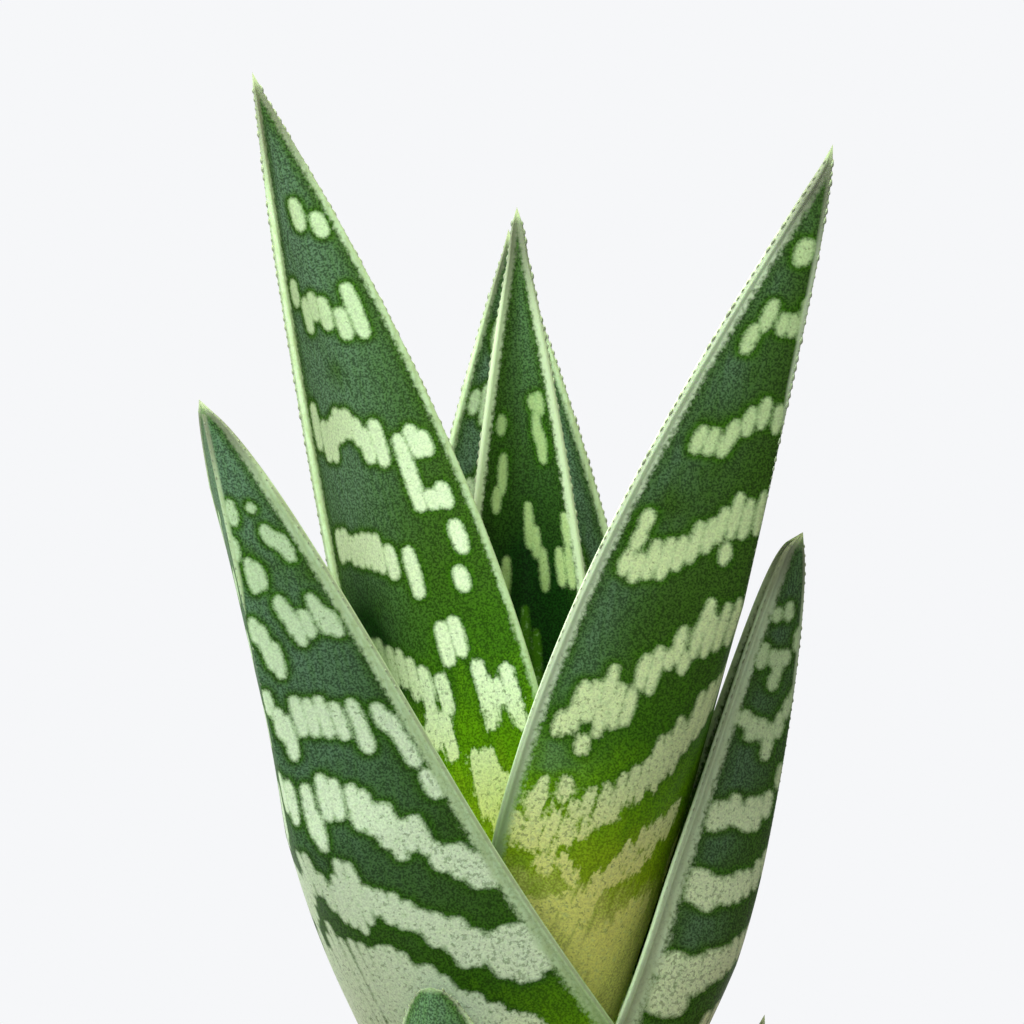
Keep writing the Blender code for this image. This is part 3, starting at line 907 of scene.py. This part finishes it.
class SkinPaint(Paint):
    """The leaf skin's nodes: the values that its mesh stores, and the noises that its colours
    share. In its calls, places on a stored distance are in mm, and the rest are shares."""

    def __init__(self, grain):
        super().__init__("aloe skin")
        self.mark, self.margin = map(self.stored, ("mark", "margin"))
        self.keel, self.brink = map(self.stored, ("keel", "brink"))
        self.share, self.ripe, self.bloom = map(self.stored, ("share", "ripe", "bloom"))
        self.warm, self.dim, self.specked = map(self.stored, ("warm", "dim", "specks"))
        self.fine = self.noise(grain, detail=1.0)
        self.speck = self.noise(1.9 * grain, roughness=0.6)
        self.cloud = self.noise(8 * MM)
        self.mottle = self.noise(0.5 * MM)
        self.streak = self.noise(vector=self.skin_map(0.4 * MM, 5 * MM), detail=3.0)
        self.blotch = self.noise(vector=self.skin_map(1.3 * MM, 3.5 * MM), detail=4.0, roughness=0.6)
        # Specks stand where a noise is above a level, which is lower near the base and margins
        crowding = self.sum(0.69, self.between(self.share, 0.8, 0.4), -0.09)
        crowding = self.sum(crowding, self.specked, -0.08)
        self.specks = self.between(self.sum(self.speck, crowding, -1.0), -0.03, 0.06)

    def greens(self, colours):
        """From deep green to cream, with fresh green round the marks, bluish wax with a painted sheen
        between, and painted shade where the leaf lies in shadow.
        """
        green = self.ramp(
            self.uneven(self.ripe, self.blotch, 0.3),
            (0.05, colours.deep_green),
            (0.3, colours.mid_green),
            (0.52, colours.fresh_green),
            (0.78, colours.olive),
            (0.95, colours.cream),
        )
        fringe = self.between(self.uneven(self.mark, self.cloud, 1.0), 0.8, 0.0)
        # painted sheen: the bluish wax is laid where light falls, besides being the wax's own colour
        bloom = self.times(self.bloom, self.between(self.cloud, 0.2, 0.5))
        bloom = self.times(bloom, self.between(self.mark, 0.1, 1.1))
        bloom = self.times(bloom, self.between(self.margin, 0.2, 1.3, 0.3, 1.0))
        # painted shade: greens turn to deep shade green where the leaf is painted as in shadow, more so
        # towards the base
        shaded = self.times(self.dim, self.between(self.share, 0.95, 0.6))
        return self.layers(
            green,
            (self.times(fringe, self.between(self.ripe, 0.6, 0.3)), colours.fringe_green),
            (bloom, colours.bloom_green),
            (self.between(self.streak, 0.35, 0.7, 0.0, 0.25), colours.mid_green),
            (self.times(shaded, 2.1), colours.painted_shade_green),
        )

    def pale(self):
        """Where the marks are: nearly sharp on the blade, and ragged where the green is ripe."""
        raggedness = self.between(self.ripe, 0.1, 0.8, 0.0, 2.4)
        edge = self.uneven(self.mark, self.mottle, 0.35)
        for noise, times in ((self.blotch, 1.0), (self.speck, 0.5), (self.streak, 0.7)):
            edge = self.sum(edge, self.times(self.sum(-0.5, noise), raggedness), times)
        return self.between(edge, 0.28, -0.26)

    def marks(self, colours):
        """Mint or cream, duller near the tip and a mark's edge, greener under painted shade, and speckled
        with green.
        """
        shallow = self.between(self.uneven(self.mark, self.mottle, 0.4), -0.35, 0.0, 0.0, 0.4)
        return self.layers(
            colours.mark,
            (self.warm, colours.warm_mark),
            (self.between(self.ripe, 0.35, 0.95), colours.cream),
            (self.between(self.share, 0.6, 0.88, 0.0, 0.5), colours.mark_shade),
            (self.times(shallow, self.between(self.ripe, 0.6, 0.1)), colours.mark_shade),
            # painted shade: marks turn green where the leaf is painted as in shadow
            (self.dim, colours.mid_green),
            (self.between(self.mottle, 0.5, 0.75, 0.0, 0.3), colours.mark_shade),
            (self.times(self.specks, 0.45), colours.fringe_green),
        )

    def horn(self, colours):
        """The margin's pale horn, duller in stretches and at the tip, duller under painted shade, and
        darkened at its outline as painted shade of the rounded edge.
        """
        return self.layers(
            colours.margin,
            (self.between(self.streak, 0.35, 0.7, 0.0, 0.5), colours.margin_shade),
            (self.between(self.mottle, 0.45, 0.7, 0.0, 0.4), colours.margin_shade),
            (self.times(self.specks, 0.2), colours.fringe_green),
            (self.times(self.warm, 0.8), colours.mark),
            # painted shade: the horn dulls where the leaf is painted as in shadow
            (self.dim, colours.margin_shade),
            (self.between(self.ripe, 0.2, 0.8, 0.0, 0.6), colours.fresh_green),
            (self.between(self.share, 0.9, 0.98, 0.0, 0.9), colours.tooth_tip),
            # painted shade: the rounded margin's outer edge is darkened as if turned from the light
            (self.between(self.brink, 0.36, 0.45, 0.0, 0.6), colours.tooth_tip),
        )

    def grained(self, skin, pale):
        """The skin, lighter and darker with its fine grain, and less so on the marks."""
        depth = self.between(self.sum(pale, self.ripe, 0.7), 0.0, 1.0, 0.48, 0.1)
        grain = self.sum(1.0, self.between(self.fine, 0.35, 0.65, -1.0, 1.0), depth)
        grey = self.out("ShaderNodeCombineColor", dict.fromkeys(("Red", "Green", "Blue"), grain))
        return self.colour(1.0, skin, grey, blend="MULTIPLY")


def leaf_skin(colours, grain):
    """Waxy skin: bluish green, partly a painted sheen, that turns yellow and cream towards the base,
    pale speckled bands with soft edges, a horny margin, painted shade and shadows, and a fine grain."""
    paint = SkinPaint(grain)
    pale = paint.pale()
    skin = paint.colour(pale, paint.greens(colours), paint.marks(colours))
    margin = paint.uneven(paint.uneven(paint.margin, paint.mottle, 0.5), paint.speck, 0.7)
    horn = paint.horn(colours)
    skin = paint.layers(
        paint.grained(skin, pale),
        (paint.between(margin, 0.3, -0.25), horn),
        (paint.between(paint.keel, 0.6, 0.2), horn),
        (paint.between(paint.share, 0.985, 1.0), colours.tooth),
    )
    return paint.finish(
        Base_Color=skin,
        Roughness=paint.between(paint.cloud, 0.3, 0.7, 0.42, 0.55),
        Normal=paint.bumps((paint.fine, 0.05, 0.7), (paint.streak, 0.06, 0.3)),
        Subsurface_Weight=0.12,
        Subsurface_Radius=(0.6, 1.0, 0.25),
        Subsurface_Scale=1.2 * MM,
        Specular_IOR_Level=0.05,
    )


def tooth_horn(colours):
    """The teeth: pale at the foot, and duller towards the point."""
    paint = Paint("aloe teeth")
    stain = paint.noise(0.9 * MM)
    body = paint.ramp(paint.stored("rise"), (0.3, colours.tooth), (1.0, colours.tooth_tip))
    return paint.finish(
        Base_Color=paint.colour(paint.between(stain, 0.4, 0.7, 0.0, 0.3), body, colours.margin_shade),
        Roughness=0.4,
        Normal=paint.bumps((stain, 0.02, 1.0)),
        Subsurface_Weight=0.25,
        Subsurface_Radius=(1.0, 1.0, 0.5),
        Subsurface_Scale=0.4 * MM,
    )


def fired_clay(colours):
    """Fired clay: uneven orange brown, sandy, with a chalky lime crust towards the foot and the rim."""
    paint = Paint("fired clay")
    cloud = paint.noise(18 * MM, detail=4.0)
    patch = paint.noise(9 * MM, detail=5.0, roughness=0.65)
    sand = paint.noise(0.5 * MM, detail=3.0)
    pores = paint.noise(1.4 * MM, detail=4.0, roughness=0.7)
    height = paint.add("ShaderNodeSeparateXYZ", {"Vector": paint.place}).outputs["Z"]
    lines = paint.out("ShaderNodeCombineXYZ", {"Z": paint.times(height, 900.0)})
    turning = paint.noise(vector=lines, detail=3.0)
    low = paint.between(height, 0.034, 0.0)
    high = paint.between(height, 0.058, 0.08, 0.0, 0.55)
    chalk = paint.times(paint.sum(low, high), paint.between(patch, 0.47, 0.68))
    body = paint.layers(
        colours.clay,
        (paint.between(cloud, 0.3, 0.7), colours.clay_dark),
        (paint.between(turning, 0.4, 0.7, 0.0, 0.22), colours.clay_light),
        (paint.times(chalk, 0.7), colours.chalk),
        (paint.between(sand, 0.62, 0.72, 0.0, 0.5), colours.clay_light),
        (paint.between(pores, 0.66, 0.74, 0.0, 0.7), colours.clay_dark),
    )
    relief = paint.bumps((turning, 0.12, 0.5), (pores, 0.15, 0.5), (sand, 0.06, 0.8))
    roughness = paint.between(patch, 0.2, 0.8, 0.72, 0.95)
    return paint.finish(Base_Color=body, Roughness=roughness, Normal=relief, Specular_IOR_Level=0.3)


def peat(colours, name, size):
    """Crumbly organic stuff, mottled from dark to light over the size given."""
    paint = Paint(name)
    light = colours.peat_light
    clump = paint.noise(size, detail=4.0, roughness=0.65)
    fibre = paint.noise(0.35 * MM, detail=3.0)
    body = paint.ramp(clump, (0.3, colours.peat), (0.55, colours.peat_brown), (0.75, light))
    body = paint.colour(paint.between(fibre, 0.55, 0.8, 0.0, 0.5), body, light)
    relief = paint.bumps((clump, 0.5, 0.8), (fibre, 0.12, 0.8))
    return paint.finish(Base_Color=body, Roughness=0.93, Normal=relief, Specular_IOR_Level=0.2)


def perlite(colours):
    """White volcanic grit, pitted and a little stained."""
    paint = Paint("perlite")
    pits = paint.noise(0.45 * MM, detail=3.0)
    body = paint.layers(
        colours.grit,
        (paint.between(paint.noise(2.5 * MM), 0.4, 0.7, 0.0, 0.5), colours.peat_light),
        (paint.between(pits, 0.45, 0.3, 0.0, 0.6), colours.peat_light),
    )
    return paint.finish(Base_Color=body, Roughness=0.85, Normal=paint.bumps((pits, 0.2, 1.0)))


def root_bark(colours):
    """The stem's and roots' pale fibrous rind."""
    paint = Paint("root rind")
    fibre = paint.noise(0.8 * MM, detail=4.0)
    body = paint.layers(
        colours.root,
        (paint.between(fibre, 0.3, 0.7), colours.peat_light),
        (paint.between(paint.noise(5 * MM), 0.5, 0.75, 0.0, 0.5), colours.olive),
    )
    return paint.finish(Base_Color=body, Roughness=0.75, Normal=paint.bumps((fibre, 0.2, 1.0)))


class Grower(Tree):
    """A Geometry Nodes tree that takes a geometry, the named numbers and a material, and grows
    something on it."""

    def __init__(self, name, *numbers):
        group = bpy.data.node_groups.new(name, "GeometryNodeTree")
        group.is_modifier = True
        inputs = [("Geometry", "Geometry"), ("Material", "Material")]
        inputs[1:1] = [(label, "Float") for label in numbers]
        for label, kind in inputs:
            group.interface.new_socket(label, in_out="INPUT", socket_type="NodeSocket" + kind)
        group.interface.new_socket("Geometry", in_out="OUTPUT", socket_type="NodeSocketGeometry")
        super().__init__(group)
        self.given = self.add("NodeGroupInput").outputs
        self.result = self.add("NodeGroupOutput").inputs[0]

    def field(self, name, kind):
        node = self.add("GeometryNodeInputNamedAttribute", {"Name": name}, data_type=kind)
        return node.outputs["Attribute"]

    def random(self, seed, low, high):
        """A random number, or a random vector between two corners."""
        kind, socket_type, place = "FLOAT", "VALUE", 1
        if isinstance(low, tuple):
            kind, socket_type, place = "FLOAT_VECTOR", "VECTOR", 0
        node = self.add("FunctionNodeRandomValue", data_type=kind)
        self.put(node.inputs["Seed"], seed)
        for socket in node.inputs:
            if socket.type == socket_type and socket.name in ("Min", "Max"):
                socket.default_value = low if socket.name == "Min" else high
        return node.outputs[place]

    def copies(self, points, instance, turn, size):
        """A copy of the instance on each point, all of them real and in the material."""
        inputs = {"Points": points, "Instance": instance, "Rotation": turn, "Scale": size}
        placed = self.out("GeometryNodeInstanceOnPoints", inputs)
        real = self.out("GeometryNodeRealizeInstances", {"Geometry": placed})
        rounded = self.out("GeometryNodeSetShadeSmooth", {"Geometry": real})
        dress = {"Geometry": rounded, "Material": self.given["Material"]}
        return self.out("GeometryNodeSetMaterial", dress)


def tooth_tree():
    """Teeth along the edges marked as toothed: blunt cones, longer along the margin than they are
    thick, each a little different, joined to the blade."""
    tree = Grower("Margin teeth", "Spacing", "Height", "Length", "Seed")
    blade, height, foot = (tree.given[name] for name in ("Geometry", "Height", "Length"))
    edges = {"Mesh": blade, "Selection": tree.field("toothed", "BOOLEAN")}
    line = tree.out("GeometryNodeMeshToCurve", edges)
    spacing = {"Curve": line, "Length": tree.given["Spacing"]}
    spaced = tree.out("GeometryNodeResampleCurve", spacing, mode="LENGTH")
    tall = tree.times(height, 1.0 + TOOTH_SUNK)
    cone = tree.out(
        "GeometryNodeMeshCone",
        {
            "Vertices": TOOTH_SIDES,
            "Side Segments": 2,
            "Radius Top": tree.times(foot, TOOTH_POINT),
            "Radius Bottom": tree.times(foot, 0.5),
            "Depth": tall,
        },
    )
    place = tree.add("ShaderNodeSeparateXYZ", {"Vector": tree.out("GeometryNodeInputPosition")})
    rise = {"Geometry": cone, "Name": "rise", "Value": tree.maths("DIVIDE", place.outputs["Z"], tall)}
    cone = tree.out("GeometryNodeStoreNamedAttribute", rise, data_type="FLOAT", domain="POINT")
    sunk = tree.out("ShaderNodeCombineXYZ", {"Z": tree.times(height, -TOOTH_SUNK)})
    shape = {"Geometry": cone, "Translation": sunk, "Scale": (1.0, TOOTH_THICKNESS, 1.0)}
    tooth = tree.out("GeometryNodeTransform", shape)
    outward = {"Vector": tree.field("outward", "FLOAT_VECTOR")}
    standing = tree.out("FunctionNodeAlignRotationToVector", outward, axis="Z")
    along = {"Rotation": standing, "Vector": tree.out("GeometryNodeInputTangent")}
    turned = tree.out("FunctionNodeAlignRotationToVector", along, axis="X", pivot_axis="Z")
    size = tree.times(tree.random(tree.given["Seed"], *TOOTH_SIZES), tree.field("growth", "FLOAT"))
    joined = tree.add("GeometryNodeJoinGeometry")
    for part in (tree.copies(spaced, tooth, turned, size), blade):
        tree.put(joined.inputs[0], part)
    tree.put(tree.result, joined.outputs[0])
    return tree.tree


def crumb_tree():
    """Crumbs scattered over a surface: lumps of uneven size and turn, half sunk in it."""
    tree = Grower("Crumbs", "Distance", "Crumb size", "Flatness", "Seed")
    seed = tree.given["Seed"]
    inputs = {
        "Mesh": tree.given["Geometry"],
        "Distance Min": tree.given["Distance"],
        "Density Max": MOST_CRUMBS,
        "Seed": seed,
    }
    scattered = tree.out("GeometryNodeDistributePointsOnFaces", inputs, distribute_method="POISSON")
    lump = tree.out("GeometryNodeMeshIcoSphere", {"Radius": 0.5, "Subdivisions": 2})
    place = tree.out("GeometryNodeInputPosition")
    dents = tree.add("ShaderNodeTexNoise", {"Vector": place, "Scale": DENTS_SCALE, "Detail": 2.0})
    depth = tree.times(tree.maths("SUBTRACT", dents.outputs["Fac"], 0.5), DENTS_DEPTH)
    push = tree.out("ShaderNodeVectorMath", {0: place, "Scale": depth}, operation="SCALE")
    dented = tree.out("GeometryNodeSetPosition", {"Geometry": lump, "Offset": push})
    turn = tree.random(seed, (0.0, 0.0, 0.0), CRUMB_TURNS)
    uneven = tree.random(tree.maths("ADD", seed, 7.0), *CRUMB_SHAPES)
    flat = tree.out("ShaderNodeCombineXYZ", {"X": 1.0, "Y": 1.0, "Z": tree.given["Flatness"]})
    shape = tree.out("ShaderNodeVectorMath", {0: uneven, 1: flat}, operation="MULTIPLY")
    shaped = {0: shape, "Scale": tree.given["Crumb size"]}
    size = tree.out("ShaderNodeVectorMath", shaped, operation="SCALE")
    tree.put(tree.result, tree.copies(scattered, dented, turn, size))
    return tree.tree


def grow(made, group, **values):
    """Run a node tree on the object with these inputs, and keep the result as its plain mesh."""
    modifier = made.modifiers.new(group.name, "NODES")
    modifier.node_group = group
    for item in group.interface.items_tree:
        label = item.name.replace(" ", "_").lower()
        if item.item_type == "SOCKET" and item.in_out == "INPUT" and label in values:
            modifier[item.identifier] = values[label]
    bpy.context.view_layer.update()
    shaped = made.evaluated_get(bpy.context.evaluated_depsgraph_get())
    mesh = bpy.data.meshes.new_from_object(shaped)
    made.modifiers.clear()
    made.data = mesh
    mesh.name = made.name


def declare(piece, slot, *nodes):
    """Attach the piece to the body that it rides on, and hide the nodes that it stands in for. The slot is
    not used.
    """
    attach(piece, BODY)
    if nodes:
        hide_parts(*nodes)


def wall_radius(height):
    """The pot's inner wall, which slopes as the outside below the rim does."""
    slope = (SHOULDER_RADIUS - FOOT_RADIUS) / (POT_HEIGHT - RIM_DEPTH)
    return FOOT_RADIUS + slope * height - POT_WALL


def rounded_outline(corners, steps=5):
    """A closed outline of (radius, height, rounding) corners with each corner turned into a
    curve that starts and ends its rounding away from it."""
    outline = []
    for number, (radius, height, rounding) in enumerate(corners):
        corner = Vector((radius, height))
        before = Vector(corners[number - 1][:2])
        after = Vector(corners[(number + 1) % len(corners)][:2])
        start = corner + (before - corner).normalized() * rounding
        end = corner + (after - corner).normalized() * rounding
        for step in range(steps + 1):
            share = step / steps
            back = 1 - share
            outline.append(start * back**2 + corner * (2 * share * back) + end * share**2)
    return outline


def pot_mesh(sides):
    rim_low = POT_HEIGHT - RIM_DEPTH
    corners = [  # radius, height and rounding
        (FOOT_RADIUS, 0.0, 1.6),
        (SHOULDER_RADIUS, rim_low, 0.8),
        (RIM_RADIUS - RIM_DRAFT, rim_low, 1.4),
        (RIM_RADIUS, POT_HEIGHT, 1.9),
        (wall_radius(POT_HEIGHT), POT_HEIGHT, 1.5),
        (wall_radius(POT_FLOOR), POT_FLOOR, 2.4),
        (DRAIN_RADIUS, POT_FLOOR, 0.8),
        (DRAIN_RADIUS, 0.0, 0.8),
    ]
    bm = bmesh.new()
    outline = []
    rounded = rounded_outline(corners)
    for place, point in enumerate(rounded):
        following = rounded[(place + 1) % len(rounded)]
        pieces = max(1, round((following - point).length / POT_RING))
        outline += [point.lerp(following, step / pieces) for step in range(pieces)]
    points = [bm.verts.new((point.x * MM, 0, point.y * MM)) for point in outline]
    edges = [bm.edges.new((points[i - 1], points[i])) for i in range(len(points))]
    turn = {"cent": (0, 0, 0), "axis": (0, 0, 1), "angle": 2 * math.pi, "steps": sides}
    bmesh.ops.spin(bm, geom=points + edges, use_merge=True, **turn)
    bmesh.ops.remove_doubles(bm, verts=bm.verts, dist=1e-6)
    mesh = mesh_from(bm, "clay_pot")
    tidy_normals(mesh)
    return mesh


def soil_height(x, y):
    """The potting mix's surface: lumps, and a slight dip towards the plant."""
    lump = noise.noise(Vector((x, y, 0)) / SOIL_LUMP)
    dip = SOIL_DIP * math.exp(-(x * x + y * y) / SOIL_DIP_RADIUS**2)
    return SOIL_TOP + SOIL_ROUGHNESS * lump - dip


def soil_patch(inner, outer, rings=24, sides=96):
    """The mix's surface between two radii, for crumbs to be scattered over."""
    bm = bmesh.new()
    grid = []
    for ring in range(rings + 1):
        radius = mix(inner, outer, ring / rings)
        row = []
        for side in range(sides):
            angle = 2 * math.pi * side / sides
            x, y = radius * math.cos(angle), radius * math.sin(angle)
            row.append(bm.verts.new((x * MM, y * MM, soil_height(x, y) * MM)))
        grid.append(row)
    for low, high in zip(grid, grid[1:]):
        for side in range(sides):
            after = (side + 1) % sides
            bm.faces.new((low[side], high[side], high[after], low[after]))
    return mesh_from(bm, "patch")


def length(name, description, default):
    return bpy.props.FloatProperty(
        name=name, description=description, default=default, min=0.0, subtype="DISTANCE", unit="LENGTH"
    )


def paint_colour(name, description, default):
    return bpy.props.FloatVectorProperty(
        name=name, description=description, default=default, size=3, min=0.0, max=1.0, subtype="COLOR"
    )


class AloeSizes(bpy.types.PropertyGroup):
    """Sizes that a user may change."""

    cell: length("Skin mesh", "The leaf mesh's fineness", 0.4 * MM)
    grain: length("Grain", "The size of the skin's grain", 0.22 * MM)
    tooth_spacing: length("Tooth spacing", "From one tooth to the next", 0.95 * MM)
    tooth_height: length("Tooth height", "How far a full tooth stands out", 0.15 * MM)
    tooth_length: length("Tooth length", "A tooth's foot, along the margin", 1.05 * MM)
    crumb: length("Crumb", "A usual crumb of the potting mix", 2.3 * MM)
    grit: length("Grit", "A usual grain of white grit", 1.9 * MM)
    pot_sides: bpy.props.IntProperty(name="Pot sides", description="Facets round the pot", default=160)


class AloeColours(bpy.types.PropertyGroup):
    """Colours that a user may change."""

    deep_green: paint_colour("Deep green", "The blade's upper half", (0.036, 0.092, 0.010))
    # painted sheen, partly the wax's own bluish colour
    bloom_green: paint_colour("Bloom", "Where the wax looks bluish", (0.105, 0.195, 0.115))
    mid_green: paint_colour("Mid green", "The blade's middle", (0.040, 0.130, 0.004))
    # painted shade: what greens turn to where shade is painted, as on the innermost leaf's sides
    painted_shade_green: paint_colour("Shade green", "The innermost leaf's sides", (0.004, 0.026, 0.002))
    fringe_green: paint_colour("Fringe", "Green that borders a pale mark", (0.030, 0.110, 0.003))
    fresh_green: paint_colour("Fresh green", "Yellow green above the base", (0.125, 0.320, 0.003))
    olive: paint_colour("Olive", "Between green and cream", (0.300, 0.480, 0.012))
    cream: paint_colour("Cream", "The base", (0.880, 0.920, 0.230))
    mark: paint_colour("Mark", "Pale bands", (0.730, 0.880, 0.590))
    warm_mark: paint_colour("Warm mark", "Pale bands of the leaves that turn cream", (0.680, 0.840, 0.370))
    mark_shade: paint_colour("Mark shade", "Between a band's dashes", (0.380, 0.600, 0.260))
    margin: paint_colour("Margin", "The horny margin", (0.480, 0.655, 0.370))
    margin_shade: paint_colour("Margin shade", "The margin's duller stretches", (0.320, 0.430, 0.180))
    tooth: paint_colour("Teeth", "The teeth's middle", (0.260, 0.340, 0.180))
    tooth_tip: paint_colour("Tooth tip", "The teeth's points", (0.200, 0.230, 0.140))
    clay: paint_colour("Clay", "The pot", (0.440, 0.170, 0.085))
    clay_dark: paint_colour("Dark clay", "Its darker clouds", (0.300, 0.105, 0.052))
    clay_light: paint_colour("Light clay", "Its sandy lines", (0.560, 0.270, 0.160))
    chalk: paint_colour("Chalk", "Lime that has bloomed on it", (0.640, 0.560, 0.480))
    peat: paint_colour("Peat", "The mix's darkest part", (0.022, 0.014, 0.010))
    peat_brown: paint_colour("Brown peat", "The mix's main colour", (0.060, 0.034, 0.020))
    peat_light: paint_colour("Bark", "Its lighter fibres", (0.160, 0.095, 0.050))
    grit: paint_colour("Grit", "White grit", (0.720, 0.700, 0.640))
    root: paint_colour("Root", "Stem and roots", (0.420, 0.340, 0.180))
    floor: paint_colour("Floor", "Floor and backdrop", (0.922, 0.930, 0.947))


class ALOE_OT_pot(bpy.types.Operator):
    """Turn the clay pot, with softly rounded edges"""

    bl_idname = "aloe.pot"
    bl_label = "Clay pot"

    def execute(self, context):
        scene = context.scene
        pot = add_object("clay_pot", pot_mesh(scene.aloe_sizes.pot_sides), fired_clay(scene.aloe_colours))
        declare(pot, "pot", "pot")
        return {"FINISHED"}


class ALOE_OT_soil(bpy.types.Operator):
    """Paint the potting mix and the stem, and scatter crumbs and white grit over the mix"""

    bl_idname = "aloe.soil"
    bl_label = "Potting mix"

    def execute(self, context):
        sizes, colours = context.scene.aloe_sizes, context.scene.aloe_colours
        repaint("soil", peat(colours, "potting mix", 2.0 * MM))
        repaint("stem_and_roots", root_bark(colours))
        group = crumb_tree()
        outer = wall_radius(SOIL_TOP) - CRUMBS_END
        bark = peat(colours, "bark", 3.0 * MM)
        crumbs = (  # name, material, size, spacing over size, flatness and seed
            ("bark_crumbs", bark, sizes.crumb, 0.62, 0.75, 3.0),
            ("white_grit", perlite(colours), sizes.grit, 3.6, 0.9, 11.0),
        )
        for name, material, size, spacing, flatness, seed in crumbs:
            patch = add_object(name, soil_patch(CRUMBS_START, outer))
            settings = {"crumb_size": size, "flatness": flatness, "seed": seed, "material": material}
            grow(patch, group, distance=spacing * size, **settings)
            declare(patch, "soil")
        return {"FINISHED"}


class ALOE_OT_leaves(bpy.types.Operator):
    """Shape the ten leaves, with their bands and teeth"""

    bl_idname = "aloe.leaves"
    bl_label = "Leaves"

    def execute(self, context):
        sizes, colours = context.scene.aloe_sizes, context.scene.aloe_colours
        skin, horn = leaf_skin(colours, sizes.grain), tooth_horn(colours)
        group = tooth_tree()
        for number, leaf in enumerate(LEAVES):
            mesh = leaf_mesh(leaf, sizes.cell / MM, seed=FIRST_SEED + number)
            blade = add_object(leaf.name.replace("leaf", "blade"), mesh, skin)
            lengths = {"spacing": sizes.tooth_spacing, "length": sizes.tooth_length}
            grow(blade, group, height=sizes.tooth_height, seed=float(number), material=horn, **lengths)
            declare(blade, leaf.name, leaf.name)
        return {"FINISHED"}


class ALOE_OT_stage(bpy.types.Operator):
    """Set the pale floor, the soft lights and the camera"""

    bl_idname = "aloe.stage"
    bl_label = "Studio"

    def execute(self, context):
        scene = context.scene
        make_floor(scene.aloe_colours.floor)
        make_world(scene, scene.aloe_colours.floor)
        for light in LIGHTS:
            make_light(*light)
        make_camera(scene)
        return {"FINISHED"}


def repaint(node, material):
    """Give a node that stays as it is a better material."""
    made = frame["nodes"][node]
    made.data.materials.clear()
    made.data.materials.append(material)


def make_camera(scene):
    lens = bpy.data.cameras.new("camera")
    lens.sensor_width = 36.0
    lens.lens = lens.sensor_width * VIEW_DISTANCE / VIEW_HEIGHT
    lens.clip_end = 20.0
    camera = bpy.data.objects.new("camera", lens)
    away = Vector((0, -math.cos(VIEW_DOWN), math.sin(VIEW_DOWN)))
    camera.location = VIEW_MIDDLE + away * VIEW_DISTANCE
    camera.rotation_euler = (math.pi / 2 - VIEW_DOWN, 0, 0)
    scene.collection.objects.link(camera)
    scene.camera = camera


def make_light(name, place, power, colour):
    lamp = bpy.data.lights.new(name, "AREA")
    lamp.shape = "DISK"
    lamp.size = LIGHT_SIZE
    lamp.energy = power
    lamp.color = colour
    light = bpy.data.objects.new(name, lamp)
    light.location = place
    light.rotation_euler = (VIEW_MIDDLE - Vector(place)).to_track_quat("-Z", "Y").to_euler()
    bpy.context.scene.collection.objects.link(light)


def make_world(scene, colour):
    """The backdrop's colour where it is looked at, and a dimmer grey where it lights the plant."""
    world = bpy.data.worlds.new("studio")
    world.use_nodes = True
    world.node_tree.nodes.clear()
    tree = Tree(world.node_tree)
    light, seen = (
        tree.out("ShaderNodeBackground", {"Color": (*colour, 1.0), "Strength": strength})
        for strength in (WORLD_LIGHT, 1.0)
    )
    looked_at = tree.add("ShaderNodeLightPath").outputs["Is Camera Ray"]
    blended = tree.out("ShaderNodeMixShader", {0: looked_at, 1: light, 2: seen})
    tree.add("ShaderNodeOutputWorld", {"Surface": blended})
    scene.world = world
    scene.view_settings.view_transform = "Standard"


def make_floor(colour):
    """A pale floor that takes shadows round the pot and is as bright as the backdrop further
    out."""
    bm = bmesh.new()
    bmesh.ops.create_circle(bm, cap_ends=True, segments=96, radius=FLOOR_RADIUS)
    paint = Paint("floor")
    distance = paint.add("ShaderNodeVectorMath", {0: paint.place}, operation="LENGTH").outputs["Value"]
    far = paint.between(distance, *FLOOR_FADE)
    matte = paint.out("ShaderNodeBsdfDiffuse", {"Color": (*colour, 1.0)})
    bright = paint.out("ShaderNodeEmission", {"Color": (*colour, 1.0), "Strength": 1.0})
    blended = paint.out("ShaderNodeMixShader", {0: far, 1: matte, 2: bright})
    nodes = paint.tree.nodes
    nodes.remove(paint.shader)
    output = next(node for node in nodes if node.type == "OUTPUT_MATERIAL")
    paint.put(output.inputs["Surface"], blended)
    floor = add_object("floor", mesh_from(bm, "floor"), paint.material)
    floor.visible_diffuse = False


class ALOE_PT_panel(bpy.types.Panel):
    """Lists the pieces and their settings"""

    bl_label = "Potted tiger aloe"
    bl_idname = "ALOE_PT_panel"
    bl_space_type = "VIEW_3D"
    bl_region_type = "UI"
    bl_category = "Aloe"

    def draw(self, context):
        for operator in OPERATORS:
            self.layout.operator(operator.bl_idname)
        for group in (context.scene.aloe_sizes, context.scene.aloe_colours):
            box = self.layout.box()
            for name in group.__annotations__:
                box.prop(group, name)


OPERATORS = (ALOE_OT_pot, ALOE_OT_soil, ALOE_OT_leaves, ALOE_OT_stage)
CLASSES = (AloeSizes, AloeColours, *OPERATORS, ALOE_PT_panel)


def register():
    for made in CLASSES:
        bpy.utils.register_class(made)
    bpy.types.Scene.aloe_sizes = bpy.props.PointerProperty(type=AloeSizes)
    bpy.types.Scene.aloe_colours = bpy.props.PointerProperty(type=AloeColours)


def unregister():
    del bpy.types.Scene.aloe_colours
    del bpy.types.Scene.aloe_sizes
    for made in reversed(CLASSES):
        bpy.utils.unregister_class(made)


def corners(box):
    return [[float(value) for value in corner] for corner in box]


def main():
    register()
    bpy.ops.aloe.pot()
    bpy.ops.aloe.soil()
    bpy.ops.aloe.leaves()
    bpy.ops.aloe.stage()


if __name__ == "__main__":
    main()
